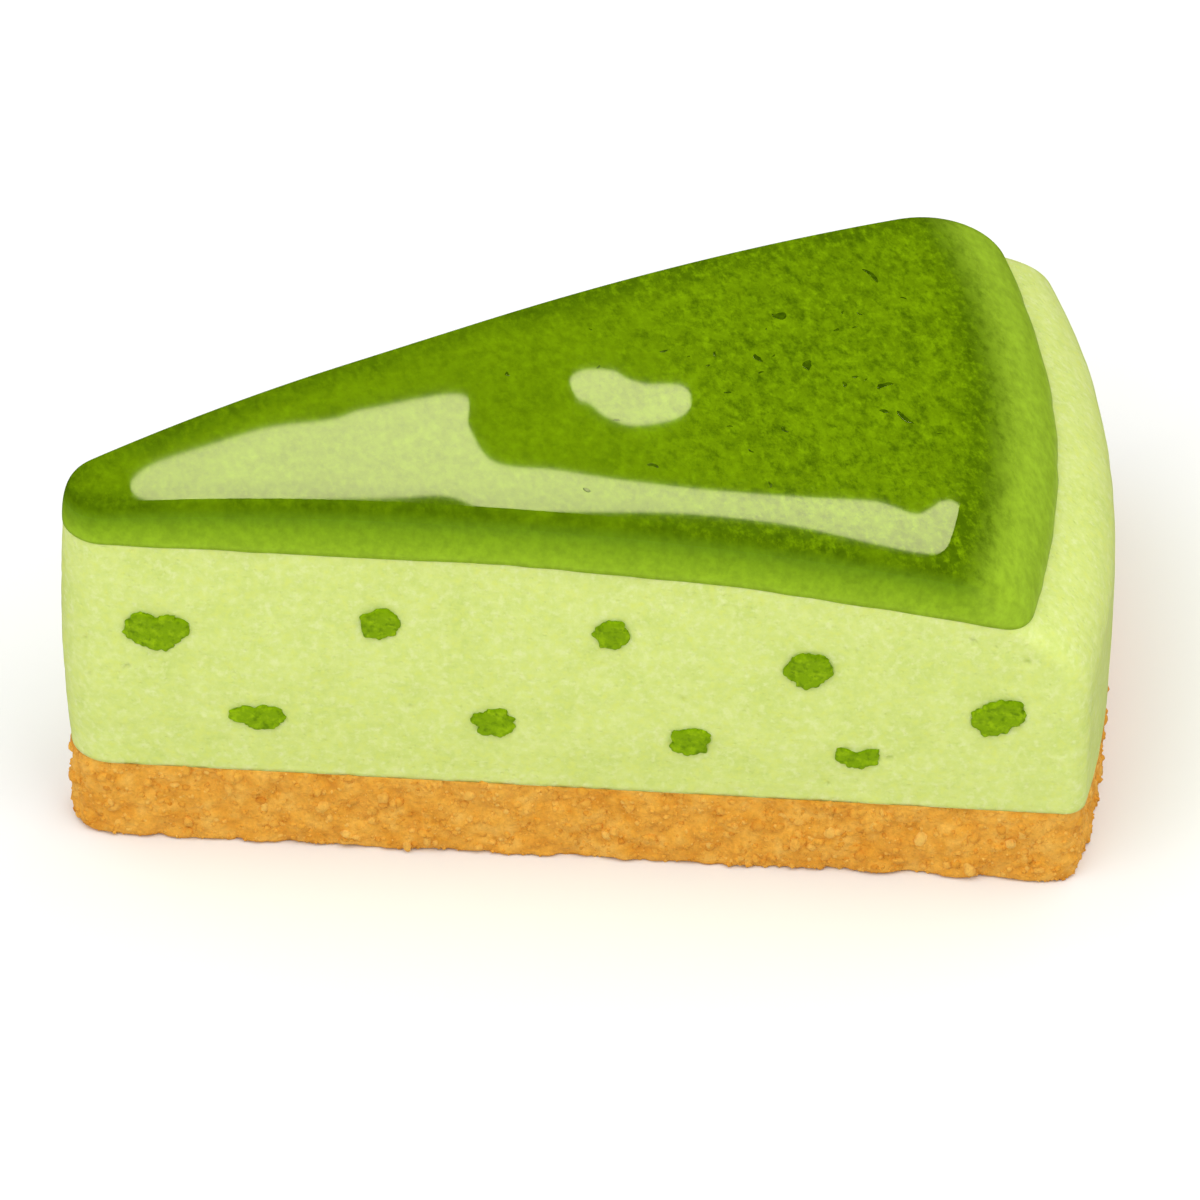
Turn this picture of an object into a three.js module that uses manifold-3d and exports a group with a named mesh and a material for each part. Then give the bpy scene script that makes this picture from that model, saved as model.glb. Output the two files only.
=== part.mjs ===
// A slice of glazed green tea cheesecake: a biscuit base, a pale filling with chopped green bits
// in it, and a thick green glaze that stops just short of the rim.
//
// Millimetres, +Z up. The slice stands on z = 0 with its nose towards -X and its rim towards +X.
// Every layer is built in the knife frame: the two cuts would meet at (0, 0), and +X lies halfway
// between them. The last lines move the finished slice so that the middle of its footprint is
// the origin.

import * as THREE from 'three';
import { mergeVertices } from 'three/addons/utils/BufferGeometryUtils.js';
import Module from 'manifold-3d';

const wasm = await Module();
wasm.setup();

// ---------------------------------------------------------------- driving dimensions

// The whole cake, and how the knife parted the slice from it
const CAKE_RADIUS = 113.5;
const CAKE_MIDDLE = new THREE.Vector2(2.6, 20.1);
const HALF_CUT_ANGLE = THREE.MathUtils.degToRad(16);
const NOSE_RADIUS = 4.5;

// Gap between two layers that lie on each other
const LAYER_GAP = 0.3;

// Biscuit base
const BASE = {
  heightAtMiddle: 9.5,
  heightAtRim: 8.9,
  rimStep: 1.8,
  cornerRadius: 2.2,
  footRounding: 0.6,
  crumbSize: 3.4,
  crumbDepth: 1.3,
};

// Cheesecake filling
const FILLING = {
  height: 37.0,
  rimDrop: 5.5,
  domeWidth: 60.5,
  footBulge: 2.3,
  wallBulge: 2.5,
  wallBulgeHeight: 24.0,
  shoulderSharpness: 2.3,
  cutBulge: 0.6,
  cornerRadius: 2.2,
};

// Green tea glaze
const GLAZE = {
  thickness: 6.0,
  rimInset: 3.4,
  lipWidth: 8.5,
  rimDrop: 4.1,
  noseDrop: 2.3,
  noseDropLength: 30,
  cutLean: 0.9,
  cornerRadius: 3.3,
};

// Chopped green bits that the front cut shows: how far along the cut they lie from the meeting
// point of the two cuts, their height above the table, length, height and turn in degrees
const FRONT_BITS = [
  { along: 20.6, up: 26.8, length: 6.1, height: 4.6, turn: 4 },
  { along: 30.2, up: 16.5, length: 5.5, height: 3.0, turn: -6 },
  { along: 42.3, up: 29.0, length: 3.9, height: 3.5, turn: 12 },
  { along: 53.4, up: 17.3, length: 4.5, height: 3.4, turn: -8 },
  { along: 65.0, up: 29.0, length: 3.5, height: 3.1, turn: 0 },
  { along: 72.6, up: 16.2, length: 4.0, height: 3.2, turn: 5 },
  { along: 84.2, up: 25.8, length: 4.7, height: 4.0, turn: 10 },
  { along: 88.9, up: 15.2, length: 4.4, height: 2.7, turn: -4 },
  { along: 102.6, up: 21.1, length: 5.3, height: 4.1, turn: 28 },
];

// The back cut has the same kind of bits in the same two staggered rows
const BACK_BITS = {
  count: 9,
  firstAlong: 24,
  pitch: 10.5,
  lowRow: 16.3,
  highRow: 27.2,
  length: [3.6, 6.0],
  height: [2.9, 4.4],
  strayAlong: 2.4,
  strayUp: 1.5,
  strayTurn: 20,
};

// Each bit is an irregular outline of this many corners, cut flat by the knife
const BIT = { corners: 11, roughness: 0.2, depth: 1.2, proud: 0.3, bevel: 0.25 };

// How many stretches each part of an outline is divided into
const BASE_STEPS = { cut: 84, corner: 4, rim: 48, nose: 8 };
const FILLING_STEPS = { cut: 22, corner: 4, rim: 18, nose: 8 };
const GLAZE_STEPS = { cut: 24, corner: 5, rim: 20, nose: 8 };

// ---------------------------------------------------------------- unevenness that repeats

/** A number from 0 to 1 that is always the same for the same three whole numbers. */
function scatter(i, j, k) {
  const wave = Math.sin(i * 127.1 + j * 311.7 + k * 74.7) * 43758.5453;
  return wave - Math.floor(wave);
}

/** How near a place in space is to a crumb's middle: 1 on its crown, 0 in the creases. */
function crumbCrown(x, y, z) {
  const cell = [Math.floor(x), Math.floor(y), Math.floor(z)];
  let nearest = Infinity;
  for (let neighbour = 0; neighbour < 27; neighbour++) {
    const i = cell[0] + (neighbour % 3) - 1;
    const j = cell[1] + (Math.floor(neighbour / 3) % 3) - 1;
    const k = cell[2] + Math.floor(neighbour / 9) - 1;
    const dx = i + scatter(i, j, k) - x;
    const dy = j + scatter(j, k, i) - y;
    const dz = k + scatter(k, i, j) - z;
    nearest = Math.min(nearest, Math.hypot(dx, dy, dz));
  }
  return 1 - Math.min(nearest, 1) ** 2;
}

/** Crumbly relief of the biscuit base at a place: coarse crumbs with finer ones between them. */
function crumbRelief(x, y, z) {
  const fineSize = BASE.crumbSize * 0.55;
  const coarse = crumbCrown(x / BASE.crumbSize, y / BASE.crumbSize, z / BASE.crumbSize);
  const fine = crumbCrown(x / fineSize, y / fineSize, z / fineSize);
  return BASE.crumbDepth * (0.7 * coarse + 0.3 * fine - 0.75);
}

// ---------------------------------------------------------------- the slice seen from above

const NOSE_MIDDLE = new THREE.Vector2(NOSE_RADIUS / Math.sin(HALF_CUT_ANGLE), 0);
const NOSE_REACH = NOSE_RADIUS / Math.tan(HALF_CUT_ANGLE);

/** One of the two knife cuts, side -1 for the front and +1 for the back: its two directions. */
function knifeCut(side) {
  const along = new THREE.Vector2(Math.cos(HALF_CUT_ANGLE), side * Math.sin(HALF_CUT_ANGLE));
  const outward = new THREE.Vector2(-Math.sin(HALF_CUT_ANGLE), side * Math.cos(HALF_CUT_ANGLE));
  return { along, outward };
}

/** Middle of the rounded corner between a cut and the rim, and where the corner meets the cut. */
function rimCorner(side, cutOffset, rimRadius, cornerRadius) {
  const { along, outward } = knifeCut(side);
  const foot = outward.clone().multiplyScalar(cutOffset - cornerRadius);
  const toFoot = foot.clone().sub(CAKE_MIDDLE);
  const b = along.dot(toFoot);
  const c = toFoot.lengthSq() - (rimRadius - cornerRadius) ** 2;
  const reach = -b + Math.sqrt(b * b - c);
  const middle = foot.addScaledVector(along, reach);
  return { middle, reach };
}

/** Points on an arc with their outward directions, without the last one. */
function arcPoints(middle, radius, from, to, steps) {
  const curve = new THREE.EllipseCurve(middle.x, middle.y, radius, radius, from, to, false, 0);
  return Array.from({ length: steps }, (_, i) => {
    const point = curve.getPoint(i / steps);
    return { point, outward: point.clone().sub(middle).normalize() };
  });
}

/** Points on a straight cut with their outward directions, without the last one. */
function cutPoints(side, cutOffset, from, to, steps) {
  const { along, outward } = knifeCut(side);
  return Array.from({ length: steps }, (_, i) => {
    const distance = THREE.MathUtils.lerp(from, to, i / steps);
    const point = along.clone().multiplyScalar(distance).addScaledVector(outward, cutOffset);
    return { point, outward };
  });
}

/**
 * The closed outline of the slice at one level, counter-clockwise from the nose: front cut,
 * rounded corner, rim, rounded corner, back cut and blunt nose.
 */
function sliceOutline(cutOffset, rimRadius, cornerRadius, steps) {
  const front = rimCorner(-1, cutOffset, rimRadius, cornerRadius);
  const back = rimCorner(1, cutOffset, rimRadius, cornerRadius);
  const frontFacing = knifeCut(-1).outward.angle() - 2 * Math.PI;
  const backFacing = knifeCut(1).outward.angle();
  const rimStart = front.middle.clone().sub(CAKE_MIDDLE).angle() - 2 * Math.PI;
  const rimEnd = back.middle.clone().sub(CAKE_MIDDLE).angle();
  const noseEnd = frontFacing + 2 * Math.PI;
  return [
    ...cutPoints(-1, cutOffset, NOSE_REACH, front.reach, steps.cut),
    ...arcPoints(front.middle, cornerRadius, frontFacing, rimStart, steps.corner),
    ...arcPoints(CAKE_MIDDLE, rimRadius, rimStart, rimEnd, steps.rim),
    ...arcPoints(back.middle, cornerRadius, rimEnd, backFacing, steps.corner),
    ...cutPoints(1, cutOffset, back.reach, NOSE_REACH, steps.cut),
    ...arcPoints(NOSE_MIDDLE, NOSE_RADIUS + cutOffset, backFacing, noseEnd, steps.nose),
  ];
}

// ---------------------------------------------------------------- heights

/** Distance of a point from the middle of the whole cake. */
function fromCakeMiddle(point) {
  return Math.hypot(point.x - CAKE_MIDDLE.x, point.y - CAKE_MIDDLE.y);
}

/** How far a point is into the band where the top bends down to the rim, 0 to 1, squared. */
function rimBend(point, bendEnd) {
  const bendStart = CAKE_RADIUS - FILLING.domeWidth;
  const reached = (fromCakeMiddle(point) - bendStart) / (bendEnd - bendStart);
  return THREE.MathUtils.clamp(reached, 0, 1) ** 2;
}

/** Top of the biscuit base above the table. */
function baseTop(point) {
  const part = Math.min(fromCakeMiddle(point) / CAKE_RADIUS, 1);
  return THREE.MathUtils.lerp(BASE.heightAtMiddle, BASE.heightAtRim, part);
}

/** Top of the filling, which the glaze lies on. */
function fillingTop(point) {
  return FILLING.height - FILLING.rimDrop * rimBend(point, CAKE_RADIUS - GLAZE.rimInset);
}

/** Top of the glaze: level in the middle, lower towards the rim and towards the nose. */
function glazeTop(point) {
  const lipTop = CAKE_RADIUS - GLAZE.rimInset - GLAZE.lipWidth;
  const fromNose = Math.max(point.x - NOSE_MIDDLE.x + NOSE_RADIUS, 0);
  const noseBend = Math.max(1 - fromNose / GLAZE.noseDropLength, 0) ** 2;
  const level = FILLING.height + GLAZE.thickness;
  return level - GLAZE.rimDrop * rimBend(point, lipTop) - GLAZE.noseDrop * noseBend;
}

// ---------------------------------------------------------------- closed bodies from rings

/** A ring of points in space from an outline and a rule for the height at each of its points. */
function ringAt(outline, heightOf) {
  return outline.map(({ point }) => new THREE.Vector3(point.x, point.y, heightOf(point)));
}

/** A ring drawn in towards the broad middle of the slice, at the height that a rule gives. */
function drawnIn(ring, part, heightOf) {
  return ring.map((corner) => {
    const point = new THREE.Vector2(corner.x, corner.y).lerp(SLICE_HEART, part);
    return new THREE.Vector3(point.x, point.y, heightOf(point));
  });
}

/** Broad middle of the slice, on which its flat and domed faces close. */
const SLICE_HEART = new THREE.Vector2(80, 0);

/** How far in the rings of a domed face lie, from its edge to near its middle. */
const DOME_PARTS = [0.16, 0.34, 0.54, 0.76];

/** A closed body through rings that run from its underside, round the outside, to its top. */
function bodyThroughRings(rings, undersideHeight, topHeight) {
  const count = rings[0].length;
  const corners = rings.flat();
  const underside = corners.push(new THREE.Vector3(SLICE_HEART.x, SLICE_HEART.y, undersideHeight)) - 1;
  const top = corners.push(new THREE.Vector3(SLICE_HEART.x, SLICE_HEART.y, topHeight)) - 1;
  const faces = [];
  for (let i = 0; i < count; i++) {
    const next = (i + 1) % count;
    const lastRing = (rings.length - 1) * count;
    faces.push(underside, next, i);
    faces.push(top, lastRing + i, lastRing + next);
    for (let level = 0; level + 1 < rings.length; level++) {
      const low = level * count;
      const high = low + count;
      faces.push(low + i, low + next, high + next);
      faces.push(low + i, high + next, high + i);
    }
  }
  const geometry = new THREE.BufferGeometry().setFromPoints(corners);
  geometry.setIndex(faces);
  geometry.computeVertexNormals();
  return geometry;
}

// ---------------------------------------------------------------- the three layers

/** Biscuit base: a flat underside, a crumbly edge all round, and a slightly rounded foot. */
function biscuitBase() {
  const levels = [0, 0.07, 0.2, 0.34, 0.48, 0.61, 0.74, 0.87, 1];
  const rings = levels.map((level) => {
    const climbed = Math.min((level * BASE.heightAtMiddle) / BASE.footRounding, 1);
    const tuck = -0.8 * BASE.footRounding * (1 - climbed) ** 2;
    const rimRadius = CAKE_RADIUS + BASE.rimStep + tuck;
    const outline = sliceOutline(tuck, rimRadius, BASE.cornerRadius, BASE_STEPS);
    outline.forEach(({ point, outward }) => {
      const relief = crumbRelief(point.x, point.y, level * BASE.heightAtMiddle);
      point.addScaledVector(outward, relief);
    });
    return ringAt(outline, (point) => level * baseTop(point));
  });
  return bodyThroughRings(rings, 0, baseTop(SLICE_HEART));
}

/** How far the outer wall of the filling stands out at a part of its height, 0 to 1. */
function wallBulge(level) {
  const shoulder = FILLING.height - FILLING.rimDrop;
  const crest = (FILLING.wallBulgeHeight - BASE.heightAtRim) / (shoulder - BASE.heightAtRim);
  if (level < crest) {
    const below = 1 - level / crest;
    return THREE.MathUtils.lerp(FILLING.wallBulge, FILLING.footBulge, below ** 2);
  }
  const above = (level - crest) / (1 - crest);
  return FILLING.wallBulge - (FILLING.wallBulge + GLAZE.rimInset) * above ** FILLING.shoulderSharpness;
}

/** How far the two knife cuts stand out at a part of the filling's height, 0 to 1. */
function cutBulge(level) {
  return FILLING.cutBulge * Math.sin(Math.PI * level);
}

/** Filling: slightly swollen cuts, a barrel-like outer wall and a domed top. */
function fillingBody() {
  const levels = [0, 0.12, 0.28, 0.45, 0.6, 0.74, 0.86, 0.94, 1];
  const rings = levels.map((level) => {
    const cornerRadius = THREE.MathUtils.lerp(FILLING.cornerRadius, GLAZE.cornerRadius, level ** 3);
    const rimRadius = CAKE_RADIUS + wallBulge(level);
    const outline = sliceOutline(cutBulge(level), rimRadius, cornerRadius, FILLING_STEPS);
    return ringAt(outline, (point) => {
      const foot = baseTop(point) + LAYER_GAP;
      return THREE.MathUtils.lerp(foot, fillingTop(point), level);
    });
  });
  const edge = rings[rings.length - 1];
  const dome = DOME_PARTS.map((part) => drawnIn(edge, part, fillingTop));
  const foot = baseTop(SLICE_HEART) + LAYER_GAP;
  return bodyThroughRings([...rings, ...dome], foot, fillingTop(SLICE_HEART));
}

/** Glaze: a thick sheet whose cut edges lean in and whose lip rolls over towards the rim. */
function glazeBody() {
  const rollLevels = [0, 0.16, 0.34, 0.54, 0.76, 1];
  const lipEdge = CAKE_RADIUS - GLAZE.rimInset;
  const underside = (point) => fillingTop(point) + LAYER_GAP;
  const roll = rollLevels.map((level) => {
    const turn = (level * Math.PI) / 2;
    const inward = 1 - Math.cos(turn);
    const rimRadius = lipEdge - GLAZE.lipWidth * inward;
    const cutOffset = -GLAZE.cutLean * inward;
    const outline = sliceOutline(cutOffset, rimRadius, GLAZE.cornerRadius, GLAZE_STEPS);
    return ringAt(outline, (point) => {
      return THREE.MathUtils.lerp(underside(point), glazeTop(point), Math.sin(turn));
    });
  });
  const below = [...DOME_PARTS].reverse().map((part) => drawnIn(roll[0], part, underside));
  const above = DOME_PARTS.map((part) => drawnIn(roll[roll.length - 1], part, glazeTop));
  const rings = [...below, ...roll, ...above];
  return bodyThroughRings(rings, underside(SLICE_HEART), glazeTop(SLICE_HEART));
}

// ---------------------------------------------------------------- chopped bits in the cuts

/** Irregular outline of one chopped bit, lying in the plane of its cut. */
function bitOutline(bit, number) {
  const corners = Array.from({ length: BIT.corners }, (_, i) => {
    const angle = ((i + 0.5 * scatter(number, i, 1)) / BIT.corners) * 2 * Math.PI;
    const reach = 1 + BIT.roughness * (scatter(number, i, 2) - 0.5) * 2;
    const across = reach * Math.cos(angle) * (bit.length / 2 - BIT.bevel);
    const upward = reach * Math.sin(angle) * (bit.height / 2 - BIT.bevel);
    return new THREE.Vector2(across, upward);
  });
  return new THREE.Shape(corners);
}

/** One chopped bit in its place in a cut: sunk into the filling and standing a little proud. */
function bitBody(bit, side, number) {
  const body = new THREE.ExtrudeGeometry(bitOutline(bit, number), {
    depth: BIT.depth,
    steps: 1,
    bevelThickness: BIT.bevel,
    bevelSize: BIT.bevel,
    bevelSegments: 1,
  });
  const { along, outward } = knifeCut(side);
  const level = (bit.up - BASE.heightAtMiddle) / (FILLING.height - BASE.heightAtMiddle);
  const faceOffset = cutBulge(level) + BIT.proud - BIT.depth - BIT.bevel;
  const place = along.clone().multiplyScalar(bit.along).addScaledVector(outward, faceOffset);
  const across = new THREE.Vector3(-side * along.x, -side * along.y, 0);
  const up = new THREE.Vector3(0, 0, 1);
  const out = new THREE.Vector3(outward.x, outward.y, 0);
  body.rotateZ(THREE.MathUtils.degToRad(bit.turn));
  body.applyMatrix4(new THREE.Matrix4().makeBasis(across, up, out));
  body.translate(place.x, place.y, bit.up);
  return body;
}

/** The bits of the back cut: two staggered rows, with sizes and places that stray a little. */
function backBits() {
  const { count, firstAlong, pitch, lowRow, highRow, length, height } = BACK_BITS;
  return Array.from({ length: count }, (_, i) => {
    const stray = (way) => scatter(i, way, 7) * 2 - 1;
    return {
      along: firstAlong + pitch * i + BACK_BITS.strayAlong * stray(1),
      up: (i % 2 === 0 ? lowRow : highRow) + BACK_BITS.strayUp * stray(2),
      length: THREE.MathUtils.lerp(length[0], length[1], scatter(i, 3, 7)),
      height: THREE.MathUtils.lerp(height[0], height[1], scatter(i, 4, 7)),
      turn: BACK_BITS.strayTurn * stray(5),
    };
  });
}

/** A solid for joining, from a closed geometry. */
function solidOf(geometry) {
  const bare = geometry.clone();
  bare.deleteAttribute('normal');
  bare.deleteAttribute('uv');
  const merged = mergeVertices(bare);
  return new wasm.Manifold(new wasm.Mesh({
    numProp: 3,
    vertProperties: Float32Array.from(merged.attributes.position.array),
    triVerts: Uint32Array.from(merged.index.array),
  }));
}

/** The geometry of a joined solid. */
function geometryOf(solid) {
  const mesh = solid.getMesh();
  const geometry = new THREE.BufferGeometry();
  geometry.setAttribute('position', new THREE.BufferAttribute(mesh.vertProperties, 3));
  geometry.setIndex(new THREE.BufferAttribute(mesh.triVerts, 1));
  geometry.computeVertexNormals();
  return geometry;
}

/** Filling with the chopped bits of both cuts joined to it. */
function fillingWithBits() {
  let solid = solidOf(fillingBody());
  FRONT_BITS.forEach((bit, i) => {
    solid = solid.add(solidOf(bitBody(bit, -1, i)));
  });
  backBits().forEach((bit, i) => {
    solid = solid.add(solidOf(bitBody(bit, 1, FRONT_BITS.length + i)));
  });
  return geometryOf(solid);
}

// ---------------------------------------------------------------- the slice

/** A named layer with its own finish. */
function layer(name, geometry, color, roughness) {
  const material = new THREE.MeshStandardMaterial({ color, roughness, metalness: 0 });
  const mesh = new THREE.Mesh(geometry, material);
  mesh.name = name;
  return mesh;
}

const slice = new THREE.Group();
slice.add(
  layer('biscuit_base', biscuitBase(), 0xdd9d3c, 0.9),
  layer('cheesecake_filling', fillingWithBits(), 0xd8e587, 0.55),
  layer('green_tea_glaze', glazeBody(), 0x709107, 0.12),
);

// The middle of the footprint becomes the origin
const middle = new THREE.Box3().setFromObject(slice).getCenter(new THREE.Vector3());
slice.position.set(-middle.x, -middle.y, 0);

export default slice;
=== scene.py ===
"""Looks of a slice of glazed green tea cheesecake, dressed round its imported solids.

Sizes are in millimetres in the knife frame of the slice: the two cuts would meet at (0, 0), +X
lies halfway between them and +Z is up. Placed.to_frame() turns them into metres in the frame of
the solids, whose origin is the middle of the slice's footprint.
"""

import logging
import math
from dataclasses import dataclass, field
from enum import Enum

import bmesh
import bpy
import numpy as np
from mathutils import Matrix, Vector


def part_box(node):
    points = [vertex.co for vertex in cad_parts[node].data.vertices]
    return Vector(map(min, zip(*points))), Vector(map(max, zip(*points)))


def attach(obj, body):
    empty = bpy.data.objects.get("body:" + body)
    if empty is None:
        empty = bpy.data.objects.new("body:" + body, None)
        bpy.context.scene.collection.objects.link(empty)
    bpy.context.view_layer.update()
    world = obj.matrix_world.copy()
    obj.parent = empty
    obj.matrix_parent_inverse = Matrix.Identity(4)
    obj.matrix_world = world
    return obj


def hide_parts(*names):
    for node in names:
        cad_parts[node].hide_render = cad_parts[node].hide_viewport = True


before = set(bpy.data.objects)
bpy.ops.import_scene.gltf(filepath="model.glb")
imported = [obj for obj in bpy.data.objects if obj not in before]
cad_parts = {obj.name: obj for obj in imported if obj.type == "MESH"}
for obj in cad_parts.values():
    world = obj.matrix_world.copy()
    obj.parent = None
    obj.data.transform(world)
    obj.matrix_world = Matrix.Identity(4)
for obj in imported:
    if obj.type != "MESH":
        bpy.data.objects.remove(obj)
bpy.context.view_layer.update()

LOG = logging.getLogger("cheesecake_slice")
MM = 0.001
BODY = "root"

Array = np.ndarray
Colour = tuple[float, float, float]
Pair = tuple[float, float]
Reading = tuple[Pair, Pair]
Face = tuple[int, ...]
Stretch = tuple[Array, Array, Array]
Piece = bpy.types.Object
Socket = bpy.types.NodeSocket


class Side(Enum):
    """The two knife cuts of the slice."""

    FRONT = -1
    BACK = 1


class Layer(Enum):
    """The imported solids, by the names of their nodes."""

    BASE = "biscuit_base"
    FILLING = "cheesecake_filling"
    GLAZE = "green_tea_glaze"


# ---------------------------------------------------------------- colours and unevenness

# The curve between a channel as the eye reads it and its linear value
FULL_CHANNEL = 255
STRAIGHT_UP_TO = 0.04045
STRAIGHT_SLOPE = 12.92
CURVE_LIFT = 0.055
CURVE_POWER = 2.4

# Waves whose sum looks like chance
SCATTER_WAVES = (127.1, 311.7, 74.7)
SCATTER_STRETCH = 43758.5453


def seen(red: float, green: float, blue: float) -> Colour:
    """Turns a colour as the eye reads it, 0 to 255 a channel, into a shader's linear colour.

    Args:
        red: Red, 0 to 255.
        green: Green, 0 to 255.
        blue: Blue, 0 to 255.

    Returns:
        The linear colour.
    """

    def channel(value: float) -> float:
        """Straightens one channel.

        Args:
            value: The channel as the eye reads it, 0 to 255.

        Returns:
            Its linear value, 0 to 1.
        """
        part = value / FULL_CHANNEL
        if part <= STRAIGHT_UP_TO:
            return part / STRAIGHT_SLOPE
        return ((part + CURVE_LIFT) / (1 + CURVE_LIFT)) ** CURVE_POWER

    return channel(red), channel(green), channel(blue)


def scatter(i: Array | float, j: Array | float, k: Array | float) -> Array:
    """Gives values from 0 to 1 that are always the same for the same numbers."""
    wave = np.sin(i * SCATTER_WAVES[0] + j * SCATTER_WAVES[1] + k * SCATTER_WAVES[2]) * SCATTER_STRETCH
    return wave - np.floor(wave)


def smooth_step(value: Array, start: float, end: float) -> Array:
    """Rises softly from 0 where a value is at its start to 1 where it is at its end."""
    part = np.clip((value - start) / (end - start), 0, 1)
    return part * part * (3 - 2 * part)


def lifted(flat: Array, height: Array) -> Array:
    """Points seen from above, with their heights."""
    return np.column_stack([flat, height])


@dataclass(frozen=True)
class Lumps:
    """Soft unevenness: its strength, the width of a lump, and a seed that picks the pattern."""

    strength: float
    width: float
    seed: float = 0.0

    def at(self, places: Array) -> Array:
        """Evaluates the unevenness.

        Args:
            places: Points, one row each.

        Returns:
            A value for each point, from minus the strength to the strength.
        """
        scaled = places / self.width + self.seed
        cell = np.floor(scaled)
        blend = scaled - cell
        blend = blend * blend * (3 - 2 * blend)
        value = np.zeros(len(places))
        for corner in range(8):
            step = np.array([corner & 1, (corner >> 1) & 1, (corner >> 2) & 1])
            weight = np.prod(np.where(step, blend, 1 - blend), axis=1)
            value += weight * scatter(*(cell + step).T)
        return self.strength * (value * 2 - 1)


def neighbour_cells(places: Array) -> list[Array]:
    """Lists the cells round each point.

    Args:
        places: Points, one row each, in cells.

    Returns:
        For each of the 27 neighbours, its whole numbers at every point.
    """
    cell = np.floor(places)
    steps = [(i, j, k) for i in (-1, 0, 1) for j in (-1, 0, 1) for k in (-1, 0, 1)]
    return [cell + step for step in steps]


def cell_heart(cell: Array) -> Array:
    """Places one point in each cell, somewhere uneven."""
    i, j, k = cell.T
    return cell + np.stack([scatter(i, j, k), scatter(j, k, i), scatter(k, i, j)], axis=1)


def crumb_crown(places: Array, size: float) -> Array:
    """Shows how near each point is to the middle of a crumb.

    Args:
        places: Points, one row each.
        size: Spacing of the crumbs.

    Returns:
        1 on the crown of a crumb, 0 in the creases.
    """
    scaled = places / size
    nearest = np.full(len(places), np.inf)
    for cell in neighbour_cells(scaled):
        gap = np.linalg.norm(cell_heart(cell) - scaled, axis=1)
        nearest = np.minimum(nearest, gap)
    return 1 - np.minimum(nearest, 1) ** 2


@dataclass(frozen=True)
class Pores:
    """Small round pores, as air leaves them: spacing, share of cells with one, and radii."""

    spacing: float
    share: float
    radii: Pair

    def depth(self, places: Array) -> Array:
        """Digs the pores.

        Args:
            places: Points, one row each.

        Returns:
            The depth at each point.
        """
        scaled = places / self.spacing
        low, high = self.radii
        half = 0.5  # sets the draws for pores apart from those that place the cells' hearts
        depth = np.zeros(len(places))
        for cell in neighbour_cells(scaled):
            gap = np.linalg.norm(cell_heart(cell) - scaled, axis=1) * self.spacing
            i, j, k = cell.T
            radius = low + (high - low) * scatter(i, j + half, k) ** 2
            bowl = radius * (1 - (gap / radius) ** 2)
            depth = np.maximum(depth, np.where(scatter(i + half, j, k) < self.share, bowl, 0))
        return depth


# ---------------------------------------------------------------- the slice seen from above


@dataclass(frozen=True)
class Steps:
    """How many stretches each part of an outline is divided into."""

    cut: int
    corner: int
    rim: int
    nose: int


@dataclass
class Outline:
    """The closed outline of the slice at one level, counter-clockwise from the nose."""

    points: Array
    outward: Array
    rim_share: Array


def bearing(direction: Array) -> float:
    """Angle of a direction seen from above."""
    return math.atan2(direction[1], direction[0])


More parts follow.
